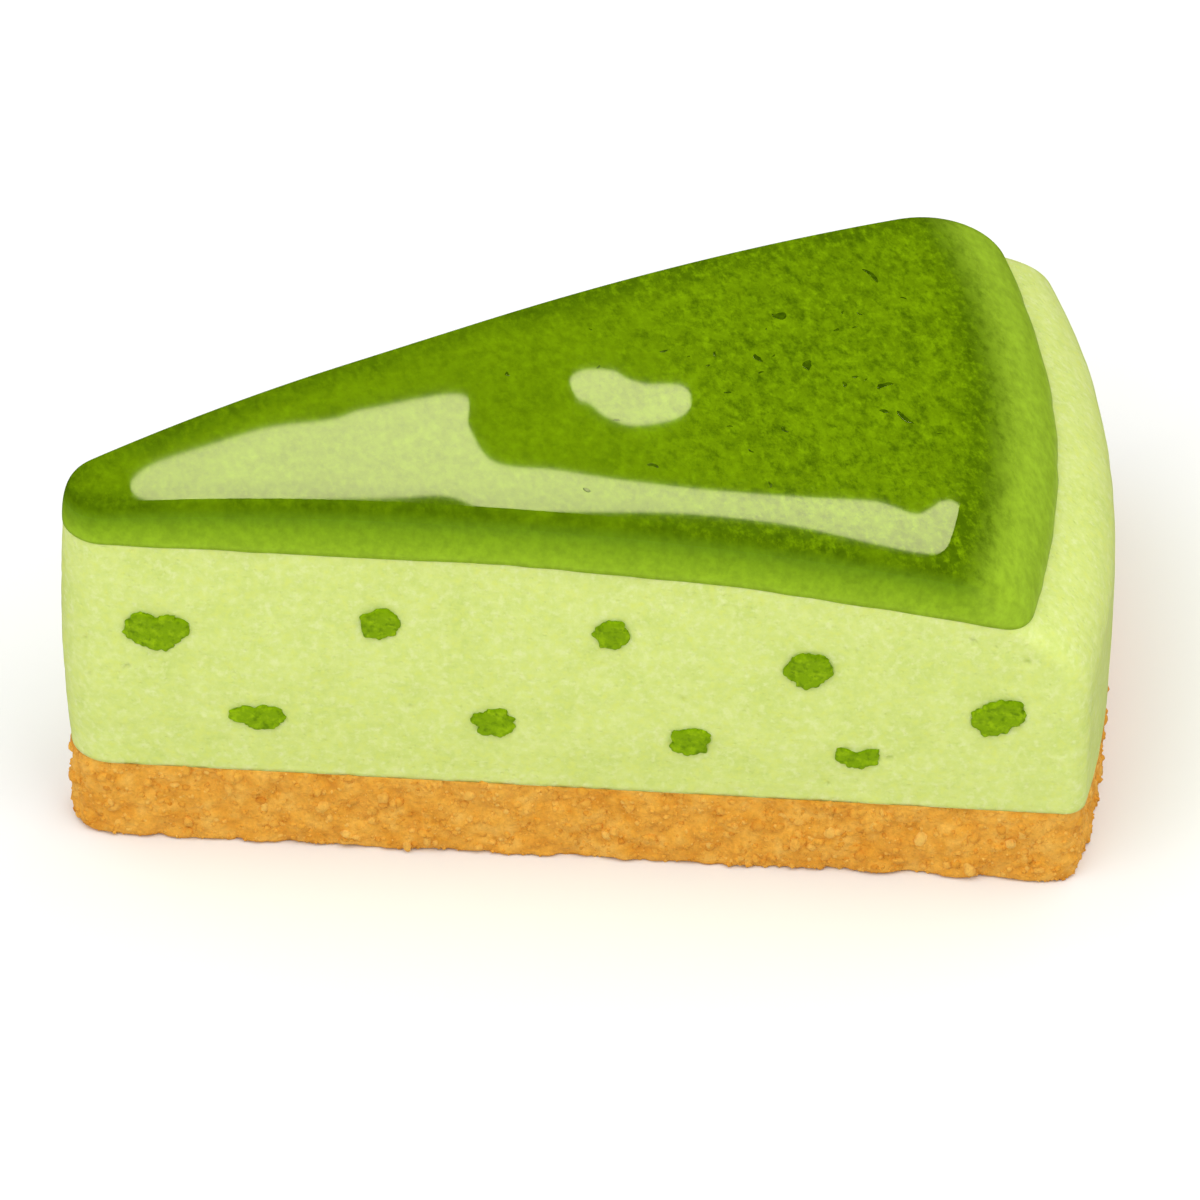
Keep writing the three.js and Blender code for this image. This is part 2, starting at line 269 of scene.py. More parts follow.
@dataclass(frozen=True)
class KnifePlan:
    """The whole cake seen from above, and the two cuts that part the slice from it."""

    cake_radius: float = 113.5
    cake_middle: Pair = (2.6, 20.1)
    half_angle: float = math.radians(16)
    nose_radius: float = 4.5

    @property
    def nose_middle(self) -> Array:
        """Middle of the arc that rounds the nose."""
        return np.array([self.nose_radius / math.sin(self.half_angle), 0.0])

    @property
    def nose_tip(self) -> float:
        """How far along +X the nose begins."""
        return self.nose_middle[0] - self.nose_radius

    @property
    def nose_reach(self) -> float:
        """Distance along each cut at which the nose's arc ends."""
        return self.nose_radius / math.tan(self.half_angle)

    def along(self, side: Side) -> Array:
        """Direction of a cut, from the nose to the rim."""
        return np.array([math.cos(self.half_angle), side.value * math.sin(self.half_angle)])

    def outward(self, side: Side) -> Array:
        """Direction in which a cut faces."""
        return np.array([-math.sin(self.half_angle), side.value * math.cos(self.half_angle)])

    def from_cake_middle(self, points: Array) -> Array:
        """Distance of each point from the middle of the whole cake."""
        return np.linalg.norm(points[:, :2] - np.array(self.cake_middle), axis=1)

    def rim_corner(self, side: Side, offset: float, rim: float, corner: float) -> tuple[Array, float]:
        """Finds the rounded corner between a cut and the rim.

        Args:
            side: The cut.
            offset: How far the cut's face stands out.
            rim: Radius of the rim at this level.
            corner: Radius of the corner.

        Returns:
            The middle of the corner's arc, and how far along the cut it begins.
        """
        foot = self.outward(side) * (offset - corner)
        to_foot = foot - np.array(self.cake_middle)
        b = float(self.along(side) @ to_foot)
        c = float(to_foot @ to_foot) - (rim - corner) ** 2
        reach = -b + math.sqrt(b * b - c)
        return foot + self.along(side) * reach, reach

    def outline(self, offset: float, rim: float, corner: float, steps: Steps) -> Outline:
        """Draws the slice at one level.

        Args:
            offset: How far both cuts stand out.
            rim: Radius of the rim at this level.
            corner: Radius of the corners between the cuts and the rim.
            steps: How finely each part is divided.

        Returns:
            The closed outline.
        """
        front_corner, front_reach = self.rim_corner(Side.FRONT, offset, rim, corner)
        back_corner, back_reach = self.rim_corner(Side.BACK, offset, rim, corner)
        middle = np.array(self.cake_middle)
        front, back = bearing(self.outward(Side.FRONT)), bearing(self.outward(Side.BACK))
        rim_start, rim_end = bearing(front_corner - middle), bearing(back_corner - middle)
        nose_radius, nose_end = self.nose_radius + offset, front + 2 * math.pi
        stretches = [
            self._cut(Side.FRONT, offset, (self.nose_reach, front_reach), steps.cut),
            self._arc(front_corner, corner, (front, rim_start), steps.corner, (0, 1)),
            self._arc(middle, rim, (rim_start, rim_end), steps.rim, (1, 1)),
            self._arc(back_corner, corner, (rim_end, back), steps.corner, (1, 0)),
            self._cut(Side.BACK, offset, (back_reach, self.nose_reach), steps.cut),
            self._arc(self.nose_middle, nose_radius, (back, nose_end), steps.nose, (0, 0)),
        ]
        return Outline(*(np.concatenate(parts) for parts in zip(*stretches)))

    def _cut(self, side: Side, offset: float, ends: Pair, steps: int) -> Stretch:
        """Draws a straight cut.

        Args:
            side: The cut.
            offset: How far its face stands out.
            ends: Where along the cut it starts and ends.
            steps: How many stretches it has.

        Returns:
            Its points, their outward directions, and their shares of the rim.
        """
        distance = np.linspace(*ends, steps, endpoint=False)[:, None]
        points = self.along(side) * distance + self.outward(side) * offset
        return points, np.tile(self.outward(side), (steps, 1)), np.zeros(steps)

    @staticmethod
    def _arc(middle: Array, radius: float, angles: Pair, steps: int, shares: Pair) -> Stretch:
        """Draws an arc.

        Args:
            middle: Its middle.
            radius: Its radius.
            angles: Where it starts and ends.
            steps: How many stretches it has.
            shares: How much it belongs to the rim at its start and at its end, 0 to 1.

        Returns:
            Its points, their outward directions, and their shares of the rim.
        """
        angle = np.linspace(*angles, steps, endpoint=False)
        outward = np.stack([np.cos(angle), np.sin(angle)], axis=1)
        return middle + outward * radius, outward, np.linspace(*shares, steps, endpoint=False)


@dataclass(frozen=True)
class LayerHeights:
    """How high each layer reaches, as rules over the slice seen from above."""

    plan: KnifePlan
    base_at_middle: float = 9.5
    base_at_rim: float = 8.9
    filling_level: float = 37.0
    filling_rim_drop: float = 5.5
    dome_width: float = 60.5
    glaze_thickness: float = 6.0
    glaze_inset: float = 3.4
    glaze_lip: float = 8.5
    glaze_rim_drop: float = 4.1
    nose_drop: float = 2.3
    nose_drop_length: float = 30.0
    slope_reach: float = 0.05

    @property
    def lip_edge(self) -> float:
        """Distance from the cake's middle at which the glaze ends."""
        return self.plan.cake_radius - self.glaze_inset

    @property
    def lip_top(self) -> float:
        """Distance from the cake's middle at which the glaze starts to roll down."""
        return self.lip_edge - self.glaze_lip

    def _rim_bend(self, points: Array, bend_end: float) -> Array:
        """Shows how far points are into the band that bends down to the rim.

        Args:
            points: Points, one row each.
            bend_end: Distance from the cake's middle at which the band ends.

        Returns:
            The part of the band, squared: 0 before it and 1 at its end.
        """
        bend_start = self.plan.cake_radius - self.dome_width
        reached = (self.plan.from_cake_middle(points) - bend_start) / (bend_end - bend_start)
        return np.maximum(reached, 0) ** 2

    def base_top(self, points: Array) -> Array:
        """Top of the biscuit base at each point."""
        part = np.minimum(self.plan.from_cake_middle(points) / self.plan.cake_radius, 1)
        return self.base_at_middle + (self.base_at_rim - self.base_at_middle) * part

    def filling_top(self, points: Array) -> Array:
        """Top of the filling at each point."""
        bend = np.minimum(self._rim_bend(points, self.lip_edge), 1)
        return self.filling_level - self.filling_rim_drop * bend

    def glaze_top(self, points: Array) -> Array:
        """Finds the top of the glaze, which is lower towards the rim and towards the nose.

        Args:
            points: Points, one row each.

        Returns:
            The height at each point.
        """
        from_nose = np.maximum(points[:, 0] - self.plan.nose_tip, 0)
        nose_bend = np.maximum(1 - from_nose / self.nose_drop_length, 0) ** 2
        rim_bend = self._rim_bend(points, self.lip_top)
        level = self.filling_level + self.glaze_thickness
        return level - self.glaze_rim_drop * rim_bend - self.nose_drop * nose_bend

    def glaze_facing(self, points: Array) -> Array:
        """Finds where the top of the glaze faces.

        Args:
            points: Points, one row each.

        Returns:
            The direction at each point.
        """
        aside = np.array([[self.slope_reach, 0.0], [0.0, self.slope_reach]])
        rises = [self.glaze_top(points + step) - self.glaze_top(points - step) for step in aside]
        across, upward = (rise / (2 * self.slope_reach) for rise in rises)
        facing = np.stack([-across, -upward, np.ones(len(points))], axis=1)
        return facing / np.linalg.norm(facing, axis=1, keepdims=True)


# ---------------------------------------------------------------- meshes in the shared frame


@dataclass
class Placed:
    """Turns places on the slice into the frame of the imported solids."""

    plan: KnifePlan
    filling_bulge: float = 0.6
    middle: Array = field(init=False)

    def __post_init__(self) -> None:
        """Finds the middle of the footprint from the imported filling, the widest layer."""
        low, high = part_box(Layer.FILLING.value)
        nose_tip = self.plan.nose_tip - self.filling_bulge
        middle_y = (high.y - low.y) / MM / 2 - self._widest_half()
        self.middle = np.array([nose_tip - low.x / MM, -middle_y, 0.0])

    def _widest_half(self) -> float:
        """Measures the wider half of the filling.

        Returns:
            How far its back corner lies from the line halfway between the cuts.
        """
        rim = self.plan.cake_radius + Filling.wall_bulge_width
        corner, _ = self.plan.rim_corner(Side.BACK, self.filling_bulge, rim, Filling.corner_radius)
        return corner[1] + Filling.corner_radius

    def to_frame(self, places: Array) -> Array:
        """Places in the shared frame, in metres."""
        return (places - self.middle) * MM


@dataclass
class RingBody:
    """A closed body through rings that run from its underside, round the outside, to its top."""

    rings: list[Array]
    underside: Array
    top: Array

    @property
    def places(self) -> Array:
        """All points of the body, with the two middles last."""
        return np.concatenate([*self.rings, [self.underside], [self.top]])

    def faces(self) -> list[Face]:
        """Makes the faces between the rings, and the fans that close both ends.

        Returns:
            The corner numbers of each face.
        """
        count = len(self.rings[0])
        here = np.arange(count)
        after = (here + 1) % count
        low_pole = count * len(self.rings)
        last = count * (len(self.rings) - 1)
        made = [(low_pole, b, a) for a, b in zip(here.tolist(), after.tolist())]
        made += [(low_pole + 1, last + a, last + b) for a, b in zip(here.tolist(), after.tolist())]
        for low in range(0, last, count):
            high = low + count
            quads = np.stack([low + here, low + after, high + after, high + here], axis=1)
            made += [tuple(quad) for quad in quads.tolist()]
        return made


@dataclass
class Gathering:
    """Small closed shapes that are gathered into one piece."""

    places: list[Array] = field(default_factory=list)
    faces: list[Face] = field(default_factory=list)
    count: int = 0

    def add(self, places: Array, faces: list[Face]) -> None:
        """Adds a shape.

        Args:
            places: Its points.
            faces: The corner numbers of its faces, which count its own points from 0.
        """
        self.faces += [tuple(self.count + corner for corner in face) for face in faces]
        self.places.append(places)
        self.count += len(places)


def drawn_in(ring: Array, heart: Array, part: float) -> Array:
    """The points of a ring, drawn a part of the way towards a point, seen from above."""
    return ring[:, :2] * (1 - part) + heart * part


@dataclass
class SliceLayer:
    """What every layer of the slice shares, with the broad middle on which its faces close."""

    plan: KnifePlan
    heights: LayerHeights
    placed: Placed
    heart: Pair = (80.0, 0.0)

    def closed(self, rings: list[Array], low: float, high: float) -> RingBody:
        """Closes rings on the broad middle of the slice, at two heights."""
        return RingBody(rings, np.array([*self.heart, low]), np.array([*self.heart, high]))

    def piece(self, name: str, places: Array, faces: list[Face], **marks: Array) -> Piece:
        """Makes one smooth piece from points and faces.

        Args:
            name: Name of the piece.
            places: Points on the slice.
            faces: Corner numbers of each face.
            **marks: Named values, one for each point, that the finish reads.

        Returns:
            The new object.
        """
        mesh = bpy.data.meshes.new(name)
        mesh.from_pydata(self.placed.to_frame(places).tolist(), [], faces)
        for mark, values in marks.items():
            mesh.attributes.new(mark, "FLOAT", "POINT").data.foreach_set("value", values)
        mesh.shade_smooth()
        mesh.update()
        piece = bpy.data.objects.new(name, mesh)
        bpy.context.scene.collection.objects.link(piece)
        return piece

    @staticmethod
    def settle(piece: Piece, layer: Layer, slot: str, finish: bpy.types.Material) -> None:
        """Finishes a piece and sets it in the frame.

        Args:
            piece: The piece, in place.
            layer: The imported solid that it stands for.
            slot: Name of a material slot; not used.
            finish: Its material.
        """
        piece.data.materials.append(finish)
        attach(piece, BODY)
        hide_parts(layer.value)
        LOG.info("%s: %d faces", piece.name, len(piece.data.polygons))


# ---------------------------------------------------------------- finishes


@dataclass(frozen=True)
class Grain:
    """Soft noise: the width of its lumps, its number of finer octaves and their strength."""

    width: float
    detail: float = 2.0
    rough: float = 0.5


@dataclass(frozen=True)
class Mottle(Grain):
    """Soft noise that is read as a share: two of its values, each with what it stands for."""

    reading: Reading = ((0.0, 0.0), (1.0, 1.0))


class Recipe:
    """The node tree of one finish while it is being built."""

    # The colour sockets of a Mix node, which share their names with its other sockets
    MIX_SHARE, MIX_FIRST, MIX_SECOND, MIX_RESULT = 0, 6, 7, 2

    def __init__(self, name: str) -> None:
        """Starts a finish from a bare Principled shader.

        Args:
            name: Name of the material.
        """
        self.material = bpy.data.materials.new(name)
        self.material.use_nodes = True
        self.tree = self.material.node_tree
        self.shader = self.tree.nodes["Principled BSDF"]
        self.object_place = self.tree.nodes.new("ShaderNodeTexCoord").outputs["Object"]

    def _feed(self, socket: Socket, value: object) -> None:
        """Links a socket to another one, or sets its own value.

        Args:
            socket: The socket that is fed.
            value: A socket, a number, a vector or a colour.
        """
        if isinstance(value, Socket):
            self.tree.links.new(value, socket)
        elif isinstance(value, tuple) and socket.type == "RGBA":
            socket.default_value = (*value, 1.0)
        else:
            socket.default_value = value

    def _add(self, kind: str, inputs: dict[str | int, object], **settings: str) -> bpy.types.Node:
        """Adds a node.

        Args:
            kind: Its type.
            inputs: What its sockets are fed, by name or number.
            **settings: Its own settings.

        Returns:
            The node.
        """
        node = self.tree.nodes.new(kind)
        for name, setting in settings.items():
            setattr(node, name, setting)
        for socket, value in inputs.items():
            self._feed(node.inputs[socket], value)
        return node

    def surface(self, **values: object) -> bpy.types.Material:
        """Sets the shader's own sockets.

        Args:
            **values: What each is fed; its name has spaces where these have underscores.

        Returns:
            The finished material.
        """
        for name, value in values.items():
            self._feed(self.shader.inputs[name.replace("_", " ")], value)
        return self.material

    def mark(self, name: str) -> Socket:
        """Reads one of the piece's named values."""
        return self._add("ShaderNodeAttribute", {}, attribute_name=name).outputs["Fac"]

    def stretched(self, stretch: tuple[float, float, float]) -> Socket:
        """The place in the frame in millimetres, stretched along its axes."""
        inputs = {0: self.object_place, 1: tuple(part / MM for part in stretch)}
        return self._add("ShaderNodeVectorMath", inputs, operation="MULTIPLY").outputs["Vector"]

    def grain(self, grain: Grain, at: Socket | None = None) -> Socket:
        """Adds soft noise.

        Args:
            grain: What it is like.
            at: Where it is read in millimetres, or None for the place in the frame.

        Returns:
            The noise's value, near 0.5 on average.
        """
        inputs = {
            "Vector": self.object_place if at is None else at,
            "Scale": 1 / (grain.width * MM) if at is None else 1 / grain.width,
            "Detail": grain.detail,
            "Roughness": grain.rough,
        }
        return self._add("ShaderNodeTexNoise", inputs).outputs["Fac"]

    def mottle(self, mottle: Mottle, at: Socket | None = None) -> Socket:
        """Adds soft noise and reads it as a share."""
        return self.spread(self.grain(mottle, at), mottle.reading)

    def cells(self, size: float) -> Socket:
        """Adds the distance to the middle of grains of one size."""
        inputs = {"Vector": self.object_place, "Scale": 1 / (size * MM)}
        return self._add("ShaderNodeTexVoronoi", inputs).outputs["Distance"]

    def ramp(self, value: Socket, places: tuple[float, ...], *colours: Colour) -> Socket:
        """Turns a value into a colour.

        Args:
            value: The value.
            places: The values at which the colours stand, in order.
            *colours: The colours.

        Returns:
            The colour between them.
        """
        node = self._add("ShaderNodeValToRGB", {"Fac": value})
        elements = node.color_ramp.elements
        while len(elements) < len(places):
            elements.new(1.0)
        for element, place, colour in zip(elements, places, colours, strict=True):
            element.position = place
            element.color = (*colour, 1.0)
        return node.outputs["Color"]

    def blend(self, share: object, first: object, second: object) -> Socket:
        """Blends two colours by the share of the second."""
        inputs = {self.MIX_SHARE: share, self.MIX_FIRST: first, self.MIX_SECOND: second}
        return self._add("ShaderNodeMix", inputs, data_type="RGBA").outputs[self.MIX_RESULT]

    def spread(self, value: Socket, reading: Reading) -> Socket:
        """Maps a value from one range to another and clamps it.

        Args:
            value: The value.
            reading: Two of its values, each with the one that it becomes.

        Returns:
            The mapped value.
        """
        low, high = reading
        ends = {"From Min": low[0], "From Max": high[0], "To Min": low[1], "To Max": high[1]}
        return self._add("ShaderNodeMapRange", {"Value": value, **ends}).outputs["Result"]

    def dimmed(self, colour: Socket, brightness: Socket) -> Socket:
        """Multiplies a colour by a brightness."""
        inputs = {0: colour, "Scale": brightness}
        return self._add("ShaderNodeVectorMath", inputs, operation="SCALE").outputs["Vector"]

    def product(self, first: Socket, second: Socket) -> Socket:
        """Multiplies two values."""
        return self._add("ShaderNodeMath", {0: first, 1: second}, operation="MULTIPLY").outputs[0]

    def relief(self, height: Socket, depth: float, under: Socket | None = None) -> Socket:
        """Turns a height into fine relief.

        Args:
            height: The height, 0 to 1.
            depth: Depth of the relief.
            under: Another relief that it lies on, or None.

        Returns:
            The direction in which the surface faces.
        """
        node = self._add("ShaderNodeBump", {"Height": height, "Distance": depth * MM})
        if under is not None:
            self._feed(node.inputs["Normal"], under)
        return node.outputs["Normal"]


@dataclass(frozen=True)
class CrumbFinish:
    """Golden pressed biscuit crumb."""

    deep: Colour = seen(219, 141, 34)
    golden: Colour = seen(241, 172, 56)
    pale: Colour = seen(251, 200, 97)
    tone_places: tuple[float, ...] = (0.0, 0.45, 1.0)
    patches: Mottle = Mottle(3.5, 4, 0.6, ((0.35, 0.0), (0.65, 1.0)))
    patch_share: float = 0.25
    sugar: Mottle = Mottle(0.5, 3, 0.6, ((0.3, 0.82), (0.62, 1.0)))
    bumps: Grain = Grain(0.45, 3, 0.6)
    bump_depth: float = 0.25
    roughness: float = 0.82
    specular: float = 0.3

    def mix(self) -> bpy.types.Material:
        """Makes the material: each crumb has its own tone, with fine grain over all.

        Returns:
            The material.
        """
        recipe = Recipe("biscuit_crumb")
        by_crumb = recipe.ramp(recipe.mark("tone"), self.tone_places, self.deep, self.golden, self.pale)
        patchy = recipe.ramp(recipe.mottle(self.patches), (0.0, 1.0), self.deep, self.pale)
        mottled = recipe.blend(self.patch_share, by_crumb, patchy)
        return recipe.surface(
            Base_Color=recipe.dimmed(mottled, recipe.mottle(self.sugar)),
            Roughness=self.roughness,
            Specular_IOR_Level=self.specular,
            Normal=recipe.relief(recipe.grain(self.bumps), self.bump_depth),
        )


@dataclass(frozen=True)
class CreamFinish:
    """Pale green cream cheese filling, smooth and softly moist."""

    light: Colour = seen(222, 234, 142)
    body: Colour = seen(214, 228, 130)
    shade: Colour = seen(200, 218, 112)
    creamy: Colour = seen(226, 235, 162)
    yellow: Colour = seen(217, 229, 112)
    clouds: Grain = Grain(5, 4, 0.65)
    cloud_places: tuple[float, ...] = (0.3, 0.5, 0.72)
    speckle: Grain = Grain(1.0, 4, 0.65)
    speckle_places: tuple[float, ...] = (0.34, 0.68)
    speckle_share: float = 0.5
    curds: Grain = Grain(0.9, 4, 0.6)
    curd_stretch: tuple[float, float, float] = (1.0, 1.0, -1.0)
    creamy_reading: Reading = ((0.52, 0.0), (0.75, 0.9))
    yellow_reading: Reading = ((0.25, 0.9), (0.48, 0.0))
    drag: Grain = Grain(1.0, 3, 0.6)
    drag_stretch: tuple[float, float, float] = (0.12, 0.12, 1.0)
    drag_depth: float = 0.06
    roughness: Reading = ((0.3, 0.42), (0.7, 0.6))
    pore_spacing: float = 0.8
    pore_reading: Reading = ((0.05, 0.0), (0.3, 1.0))
    pore_depth: float = 0.05
    skin: Grain = Grain(0.25, 2)
    skin_depth: float = 0.02
    specular: float = 0.35
    glow: float = 0.2
    glow_colours: Colour = (1.0, 0.8, 0.35)
    glow_reach: float = 2.0

    def mix(self) -> bpy.types.Material:
        """Makes the material: soft mottling, faint drag lines of the knife, fine pores.

        Returns:
            The material.
        """
        recipe = Recipe("cheesecake_filling")
        tones = (self.shade, self.body, self.light)
        clouds = recipe.ramp(recipe.grain(self.clouds), self.cloud_places, *tones)
        speckle = recipe.ramp(recipe.grain(self.speckle), self.speckle_places, self.shade, self.light)
        curds = recipe.grain(self.curds, at=recipe.stretched(self.curd_stretch))
        colour = recipe.blend(self.speckle_share, clouds, speckle)
        colour = recipe.blend(recipe.spread(curds, self.creamy_reading), colour, self.creamy)
        colour = recipe.blend(recipe.spread(curds, self.yellow_reading), colour, self.yellow)
        drag = recipe.grain(self.drag, at=recipe.stretched(self.drag_stretch))
        pores = recipe.spread(recipe.cells(self.pore_spacing), self.pore_reading)
        relief = recipe.relief(drag, self.drag_depth)
        relief = recipe.relief(pores, self.pore_depth, relief)
        return recipe.surface(
            Base_Color=colour,
            Roughness=recipe.spread(drag, self.roughness),
            Specular_IOR_Level=self.specular,
            Subsurface_Weight=self.glow,
            Subsurface_Radius=self.glow_colours,
            Subsurface_Scale=self.glow_reach * MM,
            Normal=recipe.relief(recipe.grain(self.skin), self.skin_depth, relief),
        )


@dataclass(frozen=True)
class BitFinish:
    """Chopped green bits, cut flat with the filling."""

    heart: Colour = seen(124, 160, 4)
    pale: Colour = seen(148, 184, 12)
    edge: Colour = seen(118, 154, 3)
    dark: Colour = seen(92, 126, 2)
    edge_places: tuple[float, ...] = (0.0, 0.3)
    chopped: Mottle = Mottle(0.9, 3, 0.6, ((0.48, 0.0), (0.68, 1.0)))
    fibres: Mottle = Mottle(0.7, 3, 0.6, ((0.5, 0.0), (0.7, 0.9)))
    bumps: Grain = Grain(0.5, 3)
    bump_depth: float = 0.1
    roughness: float = 0.45
    specular: float = 0.05

    def mix(self) -> bpy.types.Material:
        """Makes the material: a little darker towards the edge of each bit, with chopped grain.

        Returns:
            The material.
        """
        recipe = Recipe("green_bits")
        inward = recipe.ramp(recipe.mark("inward"), self.edge_places, self.edge, self.heart)
        chopped = recipe.blend(recipe.mottle(self.chopped), inward, self.pale)
        return recipe.surface(
            Base_Color=recipe.blend(recipe.mottle(self.fibres), chopped, self.dark),
            Roughness=self.roughness,
            Specular_IOR_Level=self.specular,
            Normal=recipe.relief(recipe.grain(self.bumps), self.bump_depth),
        )


@dataclass(frozen=True)
class GlazeFinish:
    """Thick set green glaze: painted light low on its cut faces and on its lip, the lip also pale where
    little glaze covers the filling, painted shade along the top's edges, deep green on the top.
    """

    # Tones by the climb: the first three are painted light, palest at the foot of the cut faces; the
    # first is also the lip's pale, partly where little glaze covers the filling; shoulder and deep are
    # painted shade along the top's edges; top is the glaze's own green.
    thin_and_lit: Colour = seen(150, 184, 40)
    side: Colour = seen(144, 180, 29)
    bend: Colour = seen(123, 159, 14)
    shoulder: Colour = seen(105, 141, 8)
    deep: Colour = seen(77, 106, 3)
    top: Colour = seen(100, 131, 4)
    bright: Colour = seen(121, 156, 6)
    dark: Colour = seen(66, 94, 3)
    climb_places: tuple[float, ...] = (0.0, 0.08, 0.25, 0.34, 0.46, 0.58, 0.8)
    stretch: tuple[float, float, float] = (1.0, 0.64, 0.8)
    clouds: Mottle = Mottle(6, 4, 0.6, ((0.42, 0.0), (0.66, 0.35)))
    grains: Mottle = Mottle(0.8, 5, 0.7, ((0.47, 0.0), (0.68, 1.0)))
    specks: Mottle = Mottle(1.2, 5, 0.75, ((0.46, 0.0), (0.68, 0.9)))
    blotches: Mottle = Mottle(0.9, 4, 0.65, ((0.36, 0.88), (0.64, 1.11)))
    skin_reading: Reading = ((0.0, 1.0), (0.6, 0.0))
    roughness: Reading = ((0.0, 0.03), (1.0, 0.35))
    specular: float = 0.1

    def mix(self) -> bpy.types.Material:
        """Makes the material: colour by the climb over the edge, which paints light low on the cut
        faces and shade along the top's edges, mottling, a mirror-like skin.

        Returns:
            The material.
        """
        recipe = Recipe("green_tea_glaze")
        # Painted light up the cut faces and painted shade along the top's edges, set by the climb.
        tones = (self.thin_and_lit, self.side, self.bend, self.shoulder, self.deep, self.deep, self.top)
        lit_and_shaded_by_climb = recipe.ramp(recipe.mark("climb"), self.climb_places, *tones)
        matt, leafy = recipe.mark("matt"), recipe.mark("leafy")
        place = recipe.stretched(self.stretch)
        clouds, grains, specks, blotches = (
            recipe.mottle(mottle, at=place)
            for mottle in (self.clouds, self.grains, self.specks, self.blotches)
        )
        skin = recipe.spread(matt, self.skin_reading)
        leafy_skin = recipe.product(leafy, skin)
        colour = recipe.blend(recipe.product(clouds, skin), lit_and_shaded_by_climb, self.bright)
        # Paler on the lip: partly where little glaze covers the filling, partly painted light.
        colour = recipe.blend(recipe.mark("lip"), colour, self.thin_and_lit)
        colour = recipe.blend(recipe.product(grains, leafy_skin), colour, self.bright)
        colour = recipe.blend(recipe.product(specks, leafy), colour, self.dark)
        return recipe.surface(
            Base_Color=recipe.dimmed(colour, blotches),
            Roughness=recipe.spread(matt, self.roughness),
            Specular_IOR_Level=self.specular,
        )


@dataclass(frozen=True)
class FleckFinish:
    """Fine flecks of tea leaf that lie in the glaze."""

    leaf: Colour = seen(48, 72, 2)
    pale_leaf: Colour = seen(72, 100, 2)
    grain: Grain = Grain(0.5, 2)
    leaf_places: tuple[float, ...] = (0.35, 0.65)
    roughness: float = 0.03
    specular: float = 0.1

    def mix(self) -> bpy.types.Material:
        """Makes the material: dark leaf that the glaze has wetted.

        Returns:
            The material.
        """
        recipe = Recipe("tea_flecks")
        colour = recipe.ramp(recipe.grain(self.grain), self.leaf_places, self.leaf, self.pale_leaf)
        return recipe.surface(
            Base_Color=colour, Roughness=self.roughness, Specular_IOR_Level=self.specular
        )


@dataclass(frozen=True)
class TableFinish:
    """Plain pale floor."""

    pale: Colour = (0.9, 0.9, 0.89)
    roughness: float = 0.8
    specular: float = 0.2

    def mix(self) -> bpy.types.Material:
        """Makes the material."""
        return Recipe("pale_floor").surface(
            Base_Color=self.pale, Roughness=self.roughness, Specular_IOR_Level=self.specular
        )


# ---------------------------------------------------------------- the biscuit base


def unit_ball(divisions: int) -> tuple[Array, list[Face]]:
    """Makes a ball of radius 1 from even triangles.

    Args:
        divisions: How often each triangle of the twenty-sided start is parted in four.

    Returns:
        Its points, and the corner numbers of its faces.
    """
    shape = bmesh.new()
    bmesh.ops.create_icosphere(shape, subdivisions=divisions, radius=1.0)
    points = np.array([vertex.co for vertex in shape.verts])
    faces = [tuple(vertex.index for vertex in face.verts) for face in shape.faces]
    shape.free()
    return points, faces


@dataclass(frozen=True)
class CrumbSize:
    """Loose crumbs of one size: how many, their radii and how finely they are shaped."""

    count: int
    radii: Pair
    divisions: int


@dataclass(frozen=True)
class CrumbShape:
    """How loose crumbs are squashed, roughened and pressed into the sides, in radii."""

    sunk: Pair = (0.3, 0.8)
    above_foot: float = 0.9
    below_top: float = 0.5
    squash: Pair = (0.72, 1.15)
    rough: float = 0.24
    lowest: float = 0.02


